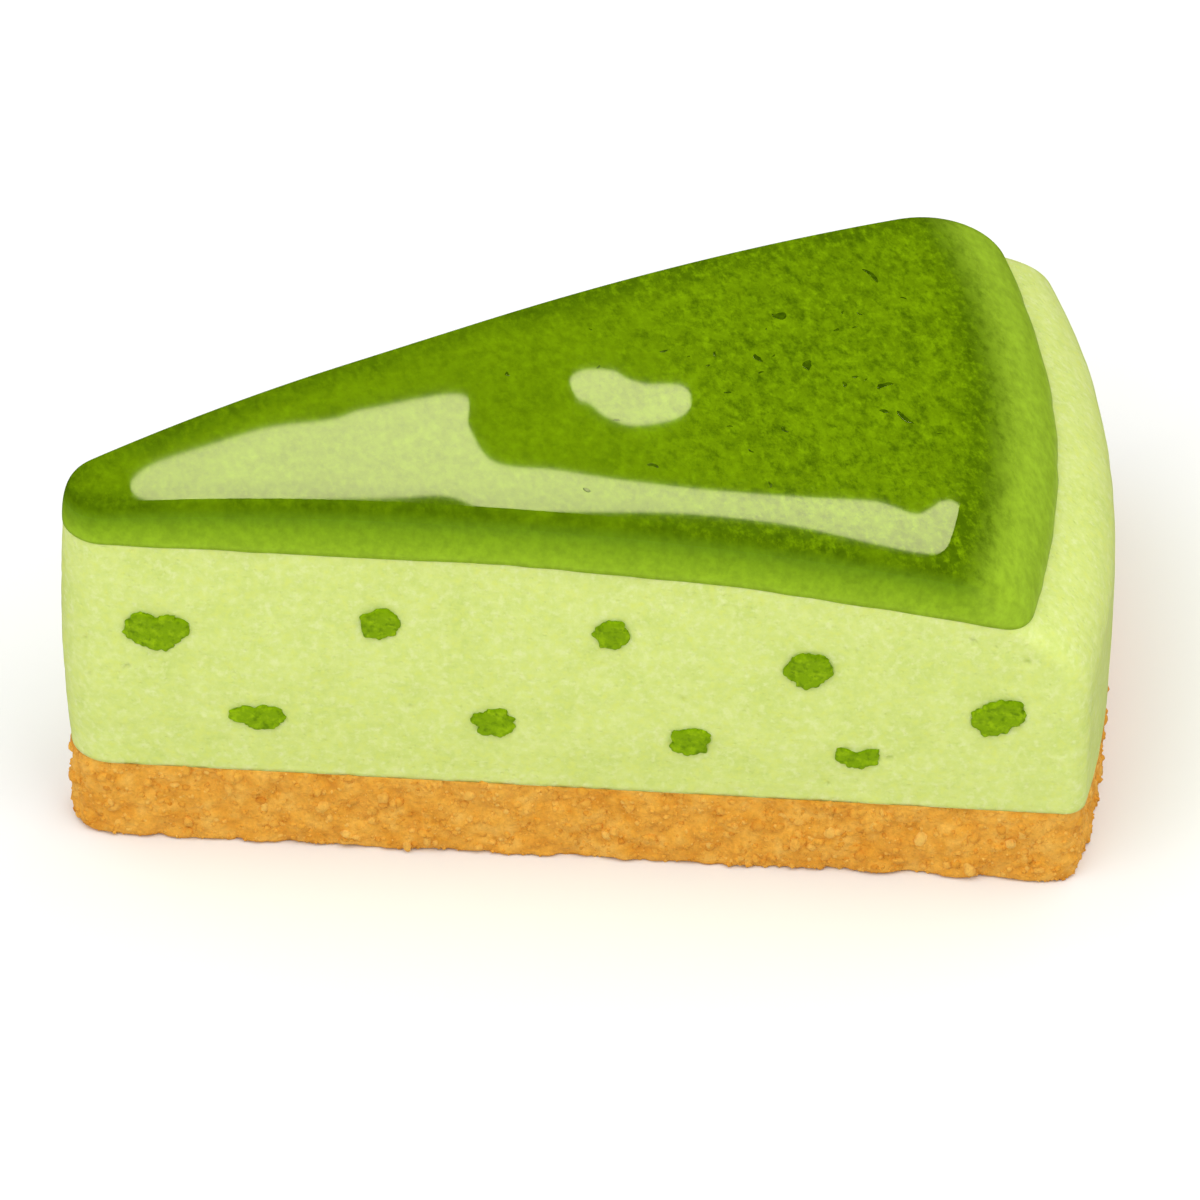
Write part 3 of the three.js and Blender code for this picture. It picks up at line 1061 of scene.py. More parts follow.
@dataclass
class BiscuitBase(SliceLayer):
    """Biscuit base: pressed crumb with a flat underside."""

    rim_step: float = 1.8
    corner_radius: float = 2.2
    foot_rounding: float = 0.6
    foot_tuck: float = 0.8
    crumb_size: float = 3.4
    crumb_depth: float = 1.3
    small_crumb_part: float = 0.55
    crumb_shares: Pair = (0.7, 0.3)
    crumb_level: float = 0.75
    grit_size: float = 1.1
    grit_depth: float = 0.3
    grit_level: float = 0.6
    levels: int = 34
    steps: Steps = Steps(cut=330, corner=12, rim=190, nose=40)
    body_tone: float = 0.45
    body_tones: tuple[Lumps, ...] = (Lumps(0.26, 1.5), Lumps(0.26, 0.8, 9.0))
    crumb_levels: int = 40
    crumb_sizes: tuple[CrumbSize, ...] = (
        CrumbSize(count=1300, radii=(0.3, 0.82), divisions=2),
        CrumbSize(count=4600, radii=(0.16, 0.42), divisions=1),
    )
    crumb_shape: CrumbShape = CrumbShape()
    crumb_tone: Pair = (0.5, 0.2)
    crumb_seed: int = 11

    def _relief(self, places: Array) -> Array:
        """Makes the crumbly relief: the solid's crumbs, with finer ones and grit on them.

        Args:
            places: Points, one row each.

        Returns:
            How far the side stands out at each point.
        """
        coarse = crumb_crown(places, self.crumb_size)
        small = crumb_crown(places, self.crumb_size * self.small_crumb_part)
        grit = crumb_crown(places, self.grit_size) - self.grit_level
        crumbs = self.crumb_shares[0] * coarse + self.crumb_shares[1] * small - self.crumb_level
        return self.crumb_depth * crumbs + self.grit_depth * grit

    def _ring(self, level: float) -> tuple[Array, Array]:
        """Draws the base at one level.

        Args:
            level: The part of its height, 0 to 1.

        Returns:
            The points, and their outward directions.
        """
        climbed = min(level * self.heights.base_at_middle / self.foot_rounding, 1)
        tuck = -self.foot_tuck * self.foot_rounding * (1 - climbed) ** 2
        rim = self.plan.cake_radius + self.rim_step + tuck
        outline = self.plan.outline(tuck, rim, self.corner_radius, self.steps)
        plain_height = np.full(len(outline.points), level * self.heights.base_at_middle)
        swell = self._relief(lifted(outline.points, plain_height))[:, None]
        height = level * self.heights.base_top(outline.points)
        return lifted(outline.points + outline.outward * swell, height), outline.outward

    def body(self) -> Piece:
        """Builds the pressed body of the base.

        Returns:
            The piece.
        """
        rings = [self._ring(level)[0] for level in np.linspace(0, 1, self.levels)]
        top = float(self.heights.base_top(np.array([self.heart]))[0])
        solid = self.closed(rings, 0.0, top)
        tone = np.full(len(solid.places), self.body_tone)
        for lumps in self.body_tones:
            tone += lumps.at(solid.places)
        return self.piece("biscuit_body", solid.places, solid.faces(), tone=np.clip(tone, 0, 1))

    def crumbs(self) -> Piece:
        """Builds the single crumbs that stand out of the body's sides.

        Returns:
            The crumbs, as one piece.
        """
        made = [self._ring(level) for level in np.linspace(0, 1, self.crumb_levels)]
        walls, facings = (np.stack(parts) for parts in zip(*made))
        rng = np.random.default_rng(self.crumb_seed)
        gathered, tones = Gathering(), []
        for size in self.crumb_sizes:
            ball, faces = unit_ball(size.divisions)
            for crumb in self._pressed(ball, size, walls, facings, rng):
                gathered.add(crumb, faces)
            tone = np.clip(rng.normal(*self.crumb_tone, size.count), 0, 1)
            tones.append(np.repeat(tone, len(ball)))
        places = np.concatenate(gathered.places)
        return self.piece("biscuit_crumbs", places, gathered.faces, tone=np.concatenate(tones))

    def _pressed(
        self, ball: Array, size: CrumbSize, walls: Array, facings: Array, rng: np.random.Generator
    ) -> Array:
        """Shapes crumbs of one size and presses them into the sides.

        Args:
            ball: Points of a ball of radius 1.
            size: How many there are, and how large.
            walls: Points of the sides, level by level.
            facings: The outward directions at those points.
            rng: Source of the scatter.

        Returns:
            The points of every crumb.
        """
        shape, count, (low, high) = self.crumb_shape, size.count, size.radii
        levels = rng.integers(1, len(walls) - 1, count)
        spots = rng.integers(0, walls.shape[1], count)
        radius = low + (high - low) * rng.random(count) ** 2
        wall = walls[levels, spots]
        ceiling = self.heights.base_top(wall[:, :2])
        room = np.minimum(wall[:, 2], ceiling - wall[:, 2])
        radius = np.minimum(radius, room + low)
        facing = lifted(facings[levels, spots], np.zeros(count))
        middles = wall - facing * (radius * rng.uniform(*shape.sunk, count))[:, None]
        highest = ceiling - radius * shape.below_top
        middles[:, 2] = np.clip(middles[:, 2], radius * shape.above_foot, highest)
        squash = rng.uniform(*shape.squash, (count, 1, 3))
        rough = 1 + rng.uniform(-shape.rough, shape.rough, (count, len(ball), 1))
        crumbs = middles[:, None] + ball[None] * rough * squash * radius[:, None, None]
        crumbs[..., 2] = np.maximum(crumbs[..., 2], shape.lowest)
        return crumbs

    def dress(self) -> None:
        """Builds and finishes the base."""
        finish = CrumbFinish().mix()
        for piece in (self.body(), self.crumbs()):
            self.settle(piece, Layer.BASE, "biscuit_crumb", finish)


# ---------------------------------------------------------------- the filling and its bits


@dataclass(frozen=True)
class Nick:
    """A nick (or, below zero, a bump) in a bit's edge: where, how deep and how wide."""

    angle: float
    depth: float
    width: float


@dataclass(frozen=True)
class Bit:
    """One chopped green bit in a cut."""

    along: float
    up: float
    length: float
    height: float
    turn: float
    nicks: tuple[Nick, ...] = ()


FRONT_BITS = (
    Bit(20.6, 26.8, 6.1, 4.6, 4, (Nick(88, 0.28, 12), Nick(125, -0.1, 18), Nick(182, -0.1, 8),
                                  Nick(352, -0.1, 8), Nick(215, 0.06, 12), Nick(255, -0.06, 14))),
    Bit(30.2, 16.5, 5.5, 3.0, -6, (Nick(100, 0.3, 14), Nick(55, -0.2, 16), Nick(275, -0.2, 12),
                                   Nick(235, 0.2, 12), Nick(350, 0.1, 8), Nick(20, -0.1, 10))),
    Bit(42.3, 29.0, 3.9, 3.5, 12, (Nick(112, 0.16, 14), Nick(140, -0.14, 12), Nick(60, -0.1, 14),
                                   Nick(215, -0.12, 14), Nick(305, -0.06, 14))),
    Bit(53.4, 17.3, 4.5, 3.4, -8, (Nick(130, 0.3, 14), Nick(72, -0.28, 12), Nick(215, 0.25, 18),
                                   Nick(300, -0.15, 18), Nick(30, -0.15, 10))),
    Bit(65.0, 29.0, 3.5, 3.1, 0, (Nick(150, -0.1, 10), Nick(320, -0.06, 14), Nick(100, -0.05, 20))),
    Bit(72.6, 16.2, 4.0, 3.2, 5, (Nick(88, 0.18, 16), Nick(45, -0.12, 12), Nick(135, -0.12, 12),
                                  Nick(225, -0.12, 12), Nick(315, -0.15, 12))),
    Bit(84.2, 25.8, 4.7, 4.0, 10, (Nick(180, -0.1, 8), Nick(215, 0.1, 12), Nick(330, 0.08, 10))),
    Bit(88.9, 15.2, 4.4, 2.7, -4, (Nick(92, 0.8, 24), Nick(45, -0.25, 12), Nick(135, -0.2, 14))),
    Bit(102.6, 21.1, 5.3, 4.1, 28, (Nick(110, 0.2, 18), Nick(215, -0.12, 12), Nick(20, -0.08, 16),
                                    Nick(290, 0.1, 14))),
)


@dataclass(frozen=True)
class Draws:
    """Which pattern of the scatter each uneven property of a bit follows."""

    along: int = 1
    up: int = 2
    length: int = 3
    height: int = 4
    turn: int = 5
    rows: int = 7
    corner_angle: int = 1
    corner_reach: int = 2


@dataclass(frozen=True)
class BackRows:
    """The two staggered rows of bits in the back cut."""

    count: int = 9
    first_along: float = 24.0
    pitch: float = 10.5
    rows: Pair = (16.3, 27.2)
    lengths: Pair = (3.6, 6.0)
    heights: Pair = (2.9, 4.4)
    stray_along: float = 2.4
    stray_up: float = 1.5
    stray_turn: float = 20.0
    draws: Draws = Draws()

    def bits(self) -> list[Bit]:
        """The bits, with places and sizes that stray a little."""
        return [self._bit(number) for number in range(self.count)]

    def _bit(self, number: int) -> Bit:
        """Makes one bit of the rows.

        Args:
            number: Its number, from 0.

        Returns:
            The bit.
        """
        draws = self.draws

        def stray(reach: float, draw: int) -> float:
            """Draws a value between minus and plus a reach."""
            return reach * (float(scatter(number, draw, draws.rows)) * 2 - 1)

        def between(ends: Pair, draw: int) -> float:
            """Draws a value between two ends."""
            return float(np.interp(scatter(number, draw, draws.rows), (0, 1), ends))

        return Bit(
            self.first_along + self.pitch * number + stray(self.stray_along, draws.along),
            self.rows[number % 2] + stray(self.stray_up, draws.up),
            between(self.lengths, draws.length),
            between(self.heights, draws.height),
            stray(self.stray_turn, draws.turn),
        )


def rounded_loop(corners: Array, steps: int) -> Array:
    """Draws a smooth closed loop through corners.

    Args:
        corners: The corners, one row each.
        steps: Points from each corner to the next.

    Returns:
        The points of the loop.
    """
    before, after, beyond = (np.roll(corners, shift, axis=0) for shift in (1, -1, -2))
    t = (np.arange(steps) / steps)[None, :, None]
    a, b, c, d = (points[:, None, :] for points in (before, corners, after, beyond))
    bend, twist = 2 * a - 5 * b + 4 * c - d, 3 * b - a - 3 * c + d
    curve = 0.5 * (2 * b + (c - a) * t + bend * t**2 + twist * t**3)
    return curve.reshape(-1, corners.shape[1])


@dataclass(frozen=True)
class BitStep:
    """One ring of a bit: shares of its outer and inner loop, how far out, its inward mark."""

    outer: float
    inner: float
    out: float
    inward: float


@dataclass(frozen=True)
class BitShape:
    """How a bit is shaped from its length, height and nicks."""

    corners: int = 11
    corner_stray: float = 0.5
    roughness: float = 0.08
    corner_steps: int = 10
    bevel: float = 0.25
    ragged_by: float = 0.24
    ragged: tuple[Lumps, ...] = (Lumps(1.0, 0.55), Lumps(0.8, 0.28, 3.0))
    dimples: Lumps = Lumps(0.1, 0.9)
    seed_step: float = 3.7
    profile: tuple[BitStep, ...] = (
        BitStep(1.0, 0.0, -1.2, 0.0),
        BitStep(1.0, 0.0, -0.12, 0.0),
        BitStep(0.9, 0.1, 0.12, 0.05),
        BitStep(0.5, 0.5, 0.255, 0.15),
        BitStep(0.0, 0.96, 0.3, 0.3),
        BitStep(0.0, 0.8, 0.3, 0.6),
        BitStep(0.0, 0.6, 0.3, 0.85),
        BitStep(0.0, 0.38, 0.3, 1.0),
        BitStep(0.0, 0.16, 0.3, 1.0),
    )
    draws: Draws = Draws()

    def _loop(self, bit: Bit, number: int) -> Array:
        """Draws a bit's nicked outline, in half lengths and half heights.

        Args:
            bit: The bit.
            number: Its number, which picks its uneven outline.

        Returns:
            The points of the outline.
        """
        corners = np.arange(self.corners)
        stray = self.corner_stray * scatter(number, corners, self.draws.corner_angle)
        angle = (corners + stray) / self.corners * 2 * math.pi
        uneven = (scatter(number, corners, self.draws.corner_reach) - 0.5) * 2
        reach = 1 + self.roughness * uneven
        corner_points = np.column_stack([reach * np.cos(angle), reach * np.sin(angle)])
        loop = rounded_loop(corner_points, self.corner_steps)
        way = np.degrees(np.arctan2(loop[:, 1], loop[:, 0]))
        for nick in bit.nicks:
            aside = (way - nick.angle + 180) % 360 - 180
            loop = loop * (1 - nick.depth * np.exp(-((aside / nick.width) ** 2)))[:, None]
        return loop

    def rings(self, bit: Bit, number: int) -> list[Array]:
        """Draws the rings of a bit from its sunk end to the middle of its cut face.

        Args:
            bit: The bit.
            number: Its number, which picks its uneven outline.

        Returns:
            Points across, upward and outward for each ring.
        """
        half = np.array([bit.length / 2 - self.bevel, bit.height / 2 - self.bevel])
        inner = self._loop(bit, number) * half
        seed = np.full(len(inner), number * self.seed_step)
        ragged = sum(lumps.at(lifted(inner, seed)) for lumps in self.ragged)
        outward = inner / np.linalg.norm(inner, axis=1, keepdims=True)
        inner = inner + outward * self.ragged_by * ragged[:, None]
        outer = inner + outward * self.bevel
        rings = []
        for step in self.profile:
            loop = outer * step.outer + inner * step.inner
            dimple = self.dimples.at(lifted(loop, seed)) * (step.out > 0)
            rings.append(lifted(loop, step.out + dimple))
        return rings


@dataclass
class Filling(SliceLayer):
    """Cheesecake filling: swollen cuts, a barrel-like outer wall, a domed top, green bits."""

    foot_bulge: float = 2.3
    wall_bulge_width: float = 2.5
    wall_bulge_height: float = 24.0
    shoulder_sharpness: float = 2.3
    cut_bulge_width: float = 0.6
    corner_radius: float = 2.2
    glaze_corner_radius: float = 3.3
    corner_power: int = 3
    levels: int = 76
    steps: Steps = Steps(cut=320, corner=14, rim=180, nose=40)
    top_parts: tuple[float, ...] = (0.03, 0.08, 0.16, 0.3, 0.5, 0.75)
    swells: tuple[Lumps, ...] = (Lumps(0.14, 9), Lumps(0.05, 2.5, 5.0))
    drag_lines: Lumps = Lumps(0.03, 0.9, 3.0)
    drag_stretch: tuple[float, float, float] = (0.12, 0.12, 1.0)
    pores: Pores = Pores(spacing=2.6, share=0.26, radii=(0.25, 0.6))
    rim_pores: float = 0.2
    edge_levels: float = 3.0
    edge_swell: float = 0.15
    cut_rim_share: float = 0.02
    crease_depth: float = 0.05
    crease_width: float = 0.16
    behind_bits: float = 0.12
    bit_shape: BitShape = BitShape()

    def wall_bulge(self, level: float) -> float:
        """Finds how far the outer wall stands out.

        Args:
            level: The part of the wall's height, 0 to 1.

        Returns:
            The bulge, below zero where the wall has drawn back under the glaze.
        """
        foot = self.heights.base_at_rim
        shoulder = self.heights.filling_level - self.heights.filling_rim_drop
        crest = (self.wall_bulge_height - foot) / (shoulder - foot)
        if level < crest:
            below = (1 - level / crest) ** 2
            return self.wall_bulge_width + (self.foot_bulge - self.wall_bulge_width) * below
        above = ((level - crest) / (1 - crest)) ** self.shoulder_sharpness
        return self.wall_bulge_width - (self.wall_bulge_width + self.heights.glaze_inset) * above

    def cut_bulge(self, level: float) -> float:
        """How far the cuts stand out at a part of the filling's height, 0 to 1."""
        return self.cut_bulge_width * math.sin(math.pi * level)

    @staticmethod
    def bits(side: Side) -> list[tuple[int, Bit]]:
        """Lists the bits of one cut.

        Args:
            side: The cut.

        Returns:
            The bits, each with a number that no other bit has.
        """
        if side is Side.FRONT:
            return list(enumerate(FRONT_BITS))
        return list(enumerate(BackRows().bits(), start=len(FRONT_BITS)))

    def _recess(self, points: Array, height: Array, cut_side: Array) -> Array:
        """Draws the filling back behind and round the bits.

        Args:
            points: Points of the filling seen from above.
            height: Their heights.
            cut_side: The side of the cut that each lies in, or 0 for the rim.

        Returns:
            How far each point draws back.
        """
        recess = np.zeros(len(points))
        for side in Side:
            distance = points @ self.plan.along(side)
            for _, bit in self.bits(side):
                turn = math.radians(bit.turn) * -side.value
                across, upward = distance - bit.along, height - bit.up
                length = across * math.cos(turn) + upward * math.sin(turn)
                rise = upward * math.cos(turn) - across * math.sin(turn)
                reach = np.hypot(length / (bit.length / 2), rise / (bit.height / 2))
                crease = self.crease_depth * np.exp(-(((reach - 1.0) / self.crease_width) ** 2))
                behind = self.behind_bits * (reach < 1.0)
                near = (cut_side == side.value) * np.maximum(crease, behind)
                recess = np.maximum(recess, near)
        return recess

    def _ring(self, level: float) -> Array:
        """Draws the filling at one level.

        Args:
            level: The part of its height, 0 to 1.

        Returns:
            The points.
        """
        widening = self.glaze_corner_radius - self.corner_radius
        corner = self.corner_radius + widening * level**self.corner_power
        rim = self.plan.cake_radius + self.wall_bulge(level)
        outline = self.plan.outline(self.cut_bulge(level), rim, corner, self.steps)
        foot = self.heights.base_top(outline.points)
        height = foot + (self.heights.filling_top(outline.points) - foot) * level
        plain = lifted(outline.points, height)
        on_rim = outline.rim_share > self.cut_rim_share
        cut_side = np.where(on_rim, 0, np.sign(outline.points[:, 1]))
        cut_part = 1 - outline.rim_share
        swell = sum(lumps.at(plain) for lumps in self.swells)
        swell += cut_part * self.drag_lines.at(plain * self.drag_stretch)
        swell -= self.pores.depth(plain) * (self.rim_pores + (1 - self.rim_pores) * cut_part)
        swell -= self._recess(outline.points, height, cut_side)
        ends = min(level, 1 - level) * self.levels / self.edge_levels
        swell *= min(ends, 1) * (1 - self.edge_swell) + self.edge_swell
        return lifted(outline.points + outline.outward * swell[:, None], height)

    def body(self) -> Piece:
        """Builds the filling without its bits.

        Returns:
            The piece.
        """
        rings = [self._ring(level) for level in np.linspace(0, 1, self.levels)]
        edge, heart = rings[-1], np.array(self.heart)
        for part in self.top_parts:
            inner = drawn_in(edge, heart, part)
            rings.append(lifted(inner, self.heights.filling_top(inner)))
        foot = float(self.heights.base_top(heart[None])[0])
        top = float(self.heights.filling_top(heart[None])[0])
        solid = self.closed(rings, foot, top)
        return self.piece("filling_body", solid.places, solid.faces())

    def bit_piece(self) -> Piece:
        """Builds all the green bits of both cuts.

        Returns:
            The bits, as one piece.
        """
        gathered, inward = Gathering(), []
        ring_marks = [step.inward for step in self.bit_shape.profile]
        for side in Side:
            for number, bit in self.bits(side):
                rings = self.bit_shape.rings(bit, number)
                solid = RingBody(rings, rings[0].mean(axis=0), rings[-1].mean(axis=0))
                gathered.add(self._bit_in_cut(solid.places, bit, side), solid.faces())
                inward += [np.repeat(ring_marks, len(rings[0])), [0.0, 1.0]]
        places = np.concatenate(gathered.places)
        return self.piece("green_bits", places, gathered.faces, inward=np.concatenate(inward))

    def _bit_in_cut(self, places: Array, bit: Bit, side: Side) -> Array:
        """Turns a bit into its place in a cut.

        Args:
            places: The bit's own points: across, upward and outward.
            bit: The bit.
            side: The cut.

        Returns:
            The points on the slice.
        """
        turn = math.radians(bit.turn)
        across = places[:, 0] * math.cos(turn) - places[:, 1] * math.sin(turn)
        upward = places[:, 0] * math.sin(turn) + places[:, 1] * math.cos(turn)
        foot = self.heights.base_at_middle
        level = (bit.up - foot) / (self.heights.filling_level - foot)
        along, outward = self.plan.along(side), self.plan.outward(side)
        distance = (bit.along - side.value * across)[:, None]
        flat = along * distance + outward * (self.cut_bulge(level) + places[:, 2:])
        return lifted(flat, bit.up + upward)

    def dress(self) -> None:
        """Builds and finishes the filling and its bits."""
        self.settle(self.body(), Layer.FILLING, "cheesecake_filling", CreamFinish().mix())
        self.settle(self.bit_piece(), Layer.FILLING, "green_bits", BitFinish().mix())


# ---------------------------------------------------------------- the glaze and its flecks


@dataclass
class Glaze(SliceLayer):
    """Green tea glaze: a thick sheet with leaning cut edges and a rolled lip at the rim."""

    cut_lean: float = 0.9
    corner_radius: float = 3.3
    overlap: float = 0.2
    proud: float = 0.1
    wander: tuple[Lumps, ...] = (Lumps(1.0, 5.0, 2.0), Lumps(0.5, 2.2, 4.0))
    wander_up: float = 0.12
    wander_out: float = 0.16
    settling_power: int = 4
    roll_levels: int = 20
    top_rings: int = 44
    top_power: float = 1.35
    under_parts: tuple[float, ...] = (0.7, 0.4, 0.15, 0.05)
    steps: Steps = Steps(cut=170, corner=14, rim=100, nose=36)
    lip_fade: Pair = (0.3, 1.0)
    lip_widening: float = 0.006
    lip_shade_from: float = -1.5
    cut_fade: Pair = (0.6, 0.95)
    edge_shade: float = 6.0
    leafy_from: float = 52.0
    leafy_width: float = 26.0
    leafy_least: float = 0.4
    leafy_loss: float = 0.85

    def _roll(self, level: float) -> tuple[Array, float]:
        """Draws one ring of the glaze's rolled edge.

        Args:
            level: The part of the roll, 0 to 1.

        Returns:
            The points, and how far they have climbed, 0 to 1.
        """
        turn = level * math.pi / 2
        climbed, inward = math.sin(turn), 1 - math.cos(turn)
        rim = self.heights.lip_edge - self.heights.glaze_lip * inward
        offset = self.proud * (1 - inward) - self.cut_lean * inward
        outline = self.plan.outline(offset, rim, self.corner_radius, self.steps)
        place = lifted(outline.points, np.zeros(len(outline.points)))
        wander = sum(lumps.at(place) for lumps in self.wander)
        settling = (1 - level) ** self.settling_power
        astray = self.wander_out * wander * outline.rim_share * settling
        points = outline.points + outline.outward * astray[:, None]
        border = self.wander_up * wander * settling
        low = self.heights.filling_top(points) - self.overlap + border
        return lifted(points, low + (self.heights.glaze_top(points) - low) * climbed), climbed

    def body(self) -> Piece:
        """Builds the glaze.

        Returns:
            The piece.
        """
        heart = np.array(self.heart)
        made = [self._roll(level) for level in np.linspace(0, 1, self.roll_levels)]
        rings = [ring for ring, _ in made]
        climbs = [np.full(len(ring), climbed) for ring, climbed in made]
        foot, edge = rings[0], rings[-1]
        for part in (np.arange(1, self.top_rings) / self.top_rings) ** self.top_power:
            inner = drawn_in(edge, heart, part)
            rings.append(lifted(inner, self.heights.glaze_top(inner)))
            climbs.append(1 + self._depth_into_top(inner))
        below = []
        for part in self.under_parts:
            inner = drawn_in(foot, heart, part)
            below.append(lifted(inner, self.heights.filling_top(inner) - self.overlap))
        low = float(self.heights.filling_top(heart[None])[0]) - self.overlap
        top = float(self.heights.glaze_top(heart[None])[0])
        solid = self.closed([*below, *rings], low, top)
        climb = np.concatenate([np.zeros(len(below) * len(edge)), *climbs, [0.0, 2.0]])
        return self.piece("glaze_body", solid.places, solid.faces(), **self._marks(solid.places, climb))

    def _marks(self, places: Array, climb: Array) -> dict[str, Array]:
        """Works out what the finish reads.

        Args:
            places: Points of the glaze.
            climb: How far each has climbed: 0 at the foot, 1 at the edge, 2 well inside.

        Returns:
            The values by name: the climb in halves, which sets the painted light and shade, how much a
                point belongs to the lip,
            paler partly where little glaze covers the filling and partly as painted light, how matt it
            is, and how leafy.
        """
        pale_width = self.heights.glaze_lip * (1 + self.lip_widening * places[:, 1])
        across_lip = (self.heights.lip_edge - self.plan.from_cake_middle(places)) / pale_width
        lip = 1 - smooth_step(across_lip, *self.lip_fade)
        matt = np.maximum(1 - smooth_step(climb, *self.cut_fade), lip)
        broad = (places[:, 0] - self.leafy_from) / self.leafy_width
        leafy = np.clip(broad, self.leafy_least, 1) * (1 - self.leafy_loss * matt)
        return {"climb": climb / 2, "lip": lip, "matt": matt, "leafy": leafy}

    def _depth_into_top(self, points: Array) -> Array:
        """Shows how far points of the top lie inside its edges; the finish fades its painted shade by
        it.

        Args:
            points: Points of the top, seen from above.

        Returns:
            0 at an edge to 1 well inside.
        """
        gaps = [-(points @ self.plan.outward(side)) - self.cut_lean for side in Side]
        rim_edge = self.heights.lip_top - self.lip_shade_from
        gaps.append(rim_edge - self.plan.from_cake_middle(points))
        return np.clip(np.minimum.reduce(gaps) / self.edge_shade, 0, 1)

    def dress(self) -> None:
        """Builds and finishes the glaze."""
        self.settle(self.body(), Layer.GLAZE, "green_tea_glaze", GlazeFinish().mix())


@dataclass(frozen=True)
class Fleck:
    """One fleck of tea leaf on the top."""

    x: float
    y: float
    length: float
    width: float
    turn: float


@dataclass(frozen=True)
class FineFlecks:
    """How the many fine flecks are scattered over the broad half of the top."""

    count: int = 26
    seed: int = 29
    middle: Pair = (86, 3)
    spread: Pair = (11, 10)
    cut_gap: float = 5.0
    rim_gap: float = 15.0
    lengths: Pair = (0.4, 1.0)
    slimness: Pair = (0.25, 0.5)
    turns: Pair = (0, 180)

    def scattered(self, plan: KnifePlan) -> list[Fleck]:
        """Scatters the flecks.

        Args:
            plan: The slice seen from above.

        Returns:
            The flecks.
        """
        rng = np.random.default_rng(self.seed)
        flecks = []
        while len(flecks) < self.count:
            x, y = (rng.normal(*draw) for draw in zip(self.middle, self.spread))
            inside = min(-(np.array([x, y]) @ plan.outward(side)) for side in Side)
            to_rim = plan.cake_radius - plan.from_cake_middle(np.array([[x, y]]))[0]
            if inside > self.cut_gap and to_rim > self.rim_gap:
                length = rng.uniform(*self.lengths)
                width = length * rng.uniform(*self.slimness)
                flecks.append(Fleck(x, y, length, width, rng.uniform(*self.turns)))
        return flecks


@dataclass
class TeaFlecks(SliceLayer):
    """Flecks of tea leaf in the skin of the glaze, most of them over its broad half."""

    large: tuple[Fleck, ...] = (
        Fleck(93.5, 0.9, 2.0, 0.7, 25),
        Fleck(94.3, -4.3, 2.4, 0.6, -58),
        Fleck(96.3, 18.6, 2.6, 0.5, -66),
        Fleck(85.5, 12.3, 1.5, 1.0, 10),
        Fleck(86.5, 4.3, 1.7, 0.7, 75),
        Fleck(81.8, 5.7, 1.4, 0.6, -70),
        Fleck(68.2, -9.7, 1.2, 0.5, -30),
        Fleck(61.0, -12.6, 0.9, 0.5, -50),
    )
    fine: FineFlecks = FineFlecks()
    thickness: float = 0.015
    profile: tuple[Pair, ...] = ((0.0, -1.0), (0.0, 0.2), (0.12, 1.0), (0.3, 1.0))
    steps: int = 12
    edge_least: float = 0.6
    edge_stray: float = 0.8
    edge_draw: int = 3
    bend: float = 0.12

    def _outline(self, fleck: Fleck, number: int) -> Array:
        """Draws the pointed, slightly bent outline of a fleck.

        Args:
            fleck: The fleck.
            number: Its number, which picks its uneven edge and the way that it bends.

        Returns:
            The points, seen from above.
        """
        corners = np.arange(self.steps)
        angle = corners / self.steps * 2 * math.pi
        across = np.cos(angle) * fleck.length / 2
        uneven = self.edge_least + self.edge_stray * scatter(number, corners, self.edge_draw)
        aside = np.sin(angle) * fleck.width / 2 * uneven
        aside += self.bend * fleck.length * (np.cos(angle) ** 2) * (1 if number % 2 else -1)
        turn = math.radians(fleck.turn)
        x = fleck.x + across * math.cos(turn) - aside * math.sin(turn)
        y = fleck.y + across * math.sin(turn) + aside * math.cos(turn)
        return np.column_stack([x, y])

    def flecks(self) -> Piece:
        """Builds all the flecks.

        Returns:
            The flecks, as one piece.
        """
        gathered = Gathering()
        for number, fleck in enumerate([*self.large, *self.fine.scattered(self.plan)]):
            loop = self._outline(fleck, number)
            middle = loop.mean(axis=0)
            rings = []
            for part, rise in self.profile:
                ring = drawn_in(loop, middle, part)
                rings.append(lifted(ring, self.heights.glaze_top(ring) + rise * self.thickness))
            low = rings[0][:, 2].min()
            high = float(self.heights.glaze_top(middle[None])[0]) + self.thickness
            solid = RingBody(rings, np.array([*middle, low]), np.array([*middle, high]))
            gathered.add(solid.places, solid.faces())
        return self.piece("tea_flecks", np.concatenate(gathered.places), gathered.faces)

    def dress(self) -> None:
        """Builds and finishes the flecks."""
        self.settle(self.flecks(), Layer.GLAZE, "tea_flecks", FleckFinish().mix())


# ---------------------------------------------------------------- camera, floor and light


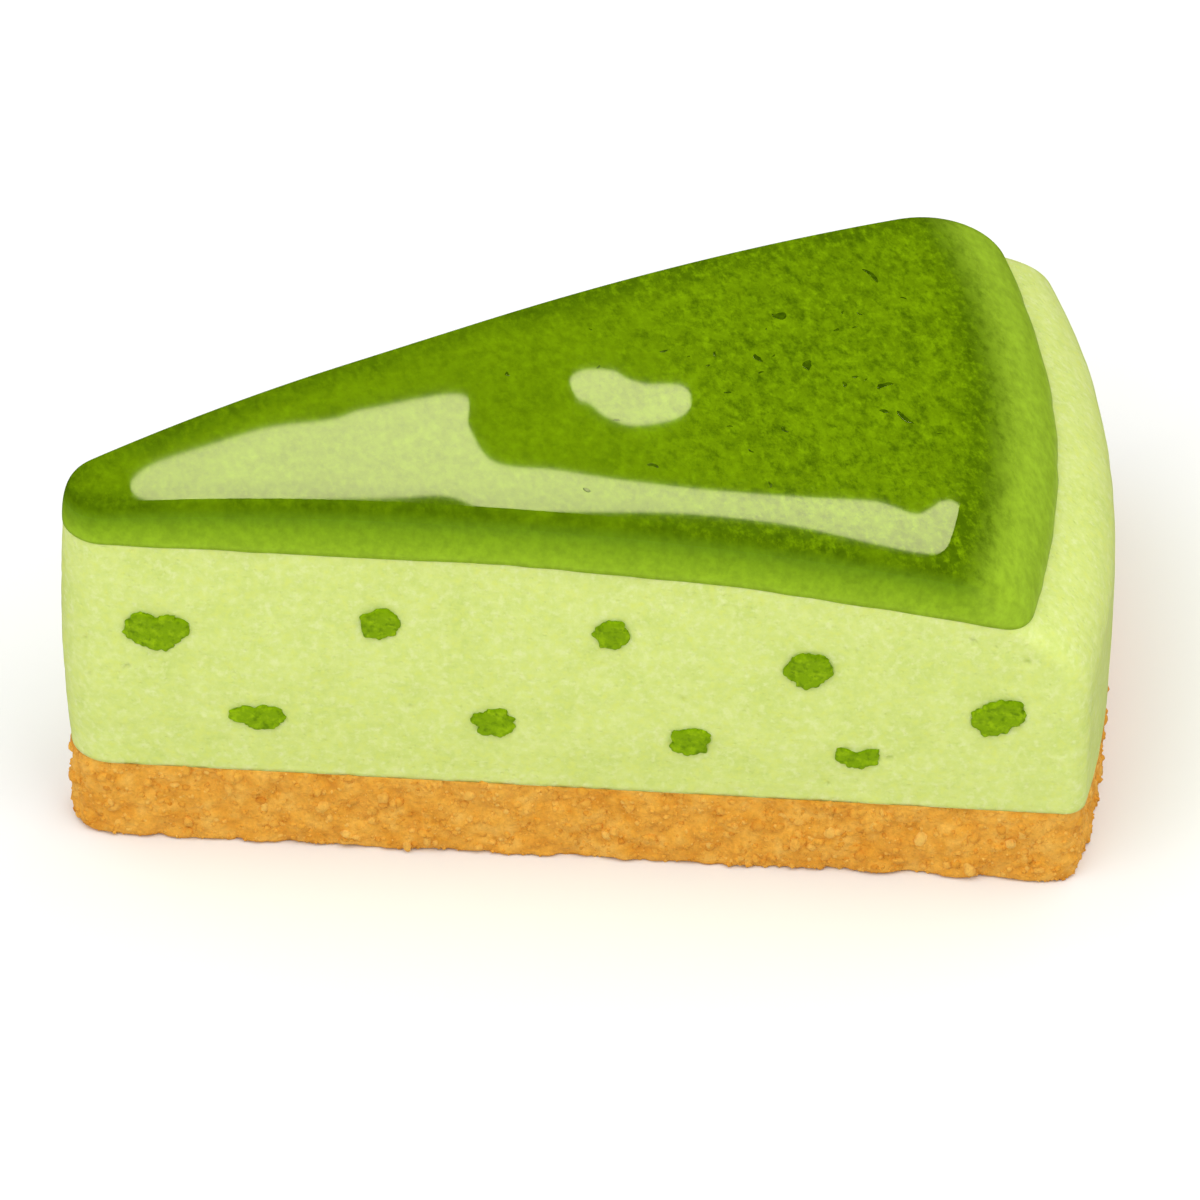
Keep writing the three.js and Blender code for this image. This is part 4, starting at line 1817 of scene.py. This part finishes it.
@dataclass
class DrawingCamera:
    """A camera that sees the slice at the drawing's angle."""

    placed: Placed
    turn: float = math.radians(-11.53)
    elevation: float = math.radians(38.9)
    distance: float = 1100.0
    aim: tuple[float, float, float] = (56.3, 0.8, 20.0)
    aside: float = 8.6
    lower: float = 0.6
    view_width: float = 118.3
    sensor: float = 36.0

    @property
    def right(self) -> Array:
        """Direction of the picture's right side."""
        return np.array([math.cos(self.turn), math.sin(self.turn), 0.0])

    @property
    def ahead(self) -> Array:
        """Direction in which the camera looks."""
        level = np.array([-math.sin(self.turn), math.cos(self.turn), 0.0])
        return level * math.cos(self.elevation) - np.array([0, 0, math.sin(self.elevation)])

    @property
    def place(self) -> Array:
        """Finds where the camera stands.

        Returns:
            The place in the knife frame.
        """
        above = np.cross(self.right, self.ahead)
        middle = np.array(self.aim) + self.right * self.aside - above * self.lower
        return middle - self.ahead * self.distance

    def set_up(self) -> None:
        """Puts the camera in the scene."""
        data = bpy.data.cameras.new("drawing_camera")
        data.lens = self.sensor * self.distance / self.view_width
        data.sensor_width = self.sensor
        camera = bpy.data.objects.new("drawing_camera", data)
        camera.location = Vector(self.placed.to_frame(self.place))
        camera.rotation_mode = "QUATERNION"
        camera.rotation_quaternion = Vector(self.ahead).to_track_quat("-Z", "Y")
        bpy.context.scene.collection.objects.link(camera)
        bpy.context.scene.camera = camera


@dataclass(frozen=True)
class SoftBox:
    """One large soft light, aimed at the slice: azimuth 0 is in front of it, 90 on its right."""

    name: str
    azimuth: float
    elevation: float
    size: float
    power: float
    distance: float = 1.3

    def hang(self) -> None:
        """Puts the light in the scene, where the glaze doesn't mirror it."""
        turn, rise = math.radians(self.azimuth), math.radians(self.elevation)
        level = math.cos(rise)
        away = Vector((math.sin(turn) * level, -math.cos(turn) * level, math.sin(rise)))
        data = bpy.data.lights.new(self.name, "AREA")
        data.shape = "SQUARE"
        data.size = self.size
        data.energy = self.power
        lamp = bpy.data.objects.new(self.name, data)
        lamp.location = away * self.distance
        lamp.rotation_mode = "QUATERNION"
        lamp.rotation_quaternion = (-away).to_track_quat("-Z", "Y")
        lamp.visible_glossy = False
        bpy.context.scene.collection.objects.link(lamp)


@dataclass
class ShineCard:
    """A bright card whose mirror image in the glaze is one of the drawing's shine marks.

    The mark is given as corners of its outline on the top of the glaze. The card lies where the
    light that leaves those corners for the camera has to come from.
    """

    name: str
    heights: LayerHeights
    camera: DrawingCamera
    placed: Placed
    mark: tuple[Pair, ...]
    strength: float = 23.5
    colour: Colour = (1.0, 0.97, 0.52)
    distance: float = 150.0
    steps: int = 6

    def _corners(self) -> Array:
        """Follows the light back from the mark.

        Returns:
            The corners of the card in the knife frame.
        """
        loop = rounded_loop(np.array(self.mark), self.steps)
        points = lifted(loop, self.heights.glaze_top(loop))
        facing = self.heights.glaze_facing(loop)
        glance = points - self.camera.place
        glance /= np.linalg.norm(glance, axis=1, keepdims=True)
        mirrored = glance - 2 * np.sum(glance * facing, axis=1, keepdims=True) * facing
        toward = mirrored.mean(axis=0)
        toward /= np.linalg.norm(toward)
        middle = points.mean(axis=0) + toward * self.distance
        reach = ((middle - points) @ toward) / (mirrored @ toward)
        return points + mirrored * reach[:, None]

    def hang(self) -> None:
        """Builds the card and puts it in the scene."""
        corners = self.placed.to_frame(self._corners())
        mesh = bpy.data.meshes.new(self.name)
        mesh.from_pydata(corners.tolist(), [], [tuple(range(len(corners)))])
        card = bpy.data.objects.new(self.name, mesh)
        mesh.materials.append(self._glow())
        bpy.context.scene.collection.objects.link(card)
        card.visible_camera = False
        card.visible_diffuse = False
        card.visible_shadow = False

    def _glow(self) -> bpy.types.Material:
        """The card's even light."""
        return Recipe(self.name).surface(
            Base_Color=(0.0, 0.0, 0.0), Emission_Color=self.colour, Emission_Strength=self.strength
        )


LONG_MARK = (
    (18.2, -2.0), (20.5, 0.6), (27.0, 2.0), (33.0, 3.0), (39.0, 2.8), (45.5, 4.1), (52.3, 4.0),
    (51.8, -1.5), (53.2, -7.0), (58.5, -9.0), (64.0, -11.3), (72.0, -13.8), (80.5, -15.6),
    (86.5, -16.4), (89.3, -17.0), (91.9, -18.6), (93.2, -18.4), (94.4, -17.5), (95.2, -16.9),
    (96.4, -16.9), (97.0, -18.2), (97.1, -20.4), (96.5, -22.3), (95.3, -23.7), (93.4, -24.4),
    (91.2, -24.3), (87.2, -22.9), (79.5, -19.8), (70.0, -17.3), (60.0, -15.8), (51.5, -14.2),
    (47.5, -11.2), (42.0, -10.4), (33.0, -8.7), (25.0, -7.0), (19.8, -4.8),
)
SHORT_MARK = (
    (62.8, 4.3), (63.9, 5.6), (65.5, 5.8), (67.4, 5.2), (68.4, 3.9), (70.0, 2.8), (72.0, 2.5),
    (73.5, 2.1), (74.0, 0.6), (73.5, -1.4), (72.0, -2.8), (69.6, -3.4), (67.2, -3.3),
    (65.4, -1.9), (64.0, 0.5), (63.0, 1.3),
)


@dataclass
class Studio:
    """Pale floor, soft light, and the cards that give the glaze its shine."""

    heights: LayerHeights
    camera: DrawingCamera
    placed: Placed
    floor_half: float = 3.0
    ambient: Colour = (1.0, 1.0, 1.0)
    ambient_strength: float = 0.5
    boxes: tuple[SoftBox, ...] = (
        SoftBox("box_front_left", azimuth=-52, elevation=50, size=1.0, power=6.3),
        SoftBox("box_front_right", azimuth=38, elevation=60, size=1.0, power=6.6),
        SoftBox("box_back_right", azimuth=118, elevation=60, size=0.9, power=2.3),
        SoftBox("box_back_left", azimuth=-128, elevation=60, size=0.9, power=2.5),
    )

    def set_up(self) -> None:
        """Lays the floor and hangs the lights."""
        self._floor()
        self._surroundings()
        for box in self.boxes:
            box.hang()
        for name, mark in (("long_shine", LONG_MARK), ("short_shine", SHORT_MARK)):
            ShineCard(name, self.heights, self.camera, self.placed, mark).hang()

    def _floor(self) -> None:
        """Lays the plain pale floor."""
        half = self.floor_half
        corners = [(-half, -half, 0), (half, -half, 0), (half, half, 0), (-half, half, 0)]
        mesh = bpy.data.meshes.new("floor")
        mesh.from_pydata(corners, [], [(0, 1, 2, 3)])
        mesh.materials.append(TableFinish().mix())
        floor = bpy.data.objects.new("floor", mesh)
        floor.visible_glossy = False
        bpy.context.scene.collection.objects.link(floor)

    def _surroundings(self) -> None:
        """Fills the shadows a little from all round."""
        world = bpy.data.worlds.new("surroundings")
        world.use_nodes = True
        background = world.node_tree.nodes["Background"]
        background.inputs["Color"].default_value = (*self.ambient, 1.0)
        background.inputs["Strength"].default_value = self.ambient_strength
        bpy.context.scene.world = world
        world.cycles_visibility.glossy = False
        bpy.context.scene.view_settings.view_transform = "Standard"


def main() -> None:
    """Builds every layer in order, then the camera and the studio."""
    logging.basicConfig(level=logging.INFO, format="%(name)s: %(message)s")
    plan = KnifePlan()
    heights = LayerHeights(plan)
    placed = Placed(plan)
    for layer in (BiscuitBase, Filling, Glaze, TeaFlecks):
        layer(plan, heights, placed).dress()
    camera = DrawingCamera(placed)
    camera.set_up()
    Studio(heights, camera, placed).set_up()


if __name__ == "__main__":
    main()
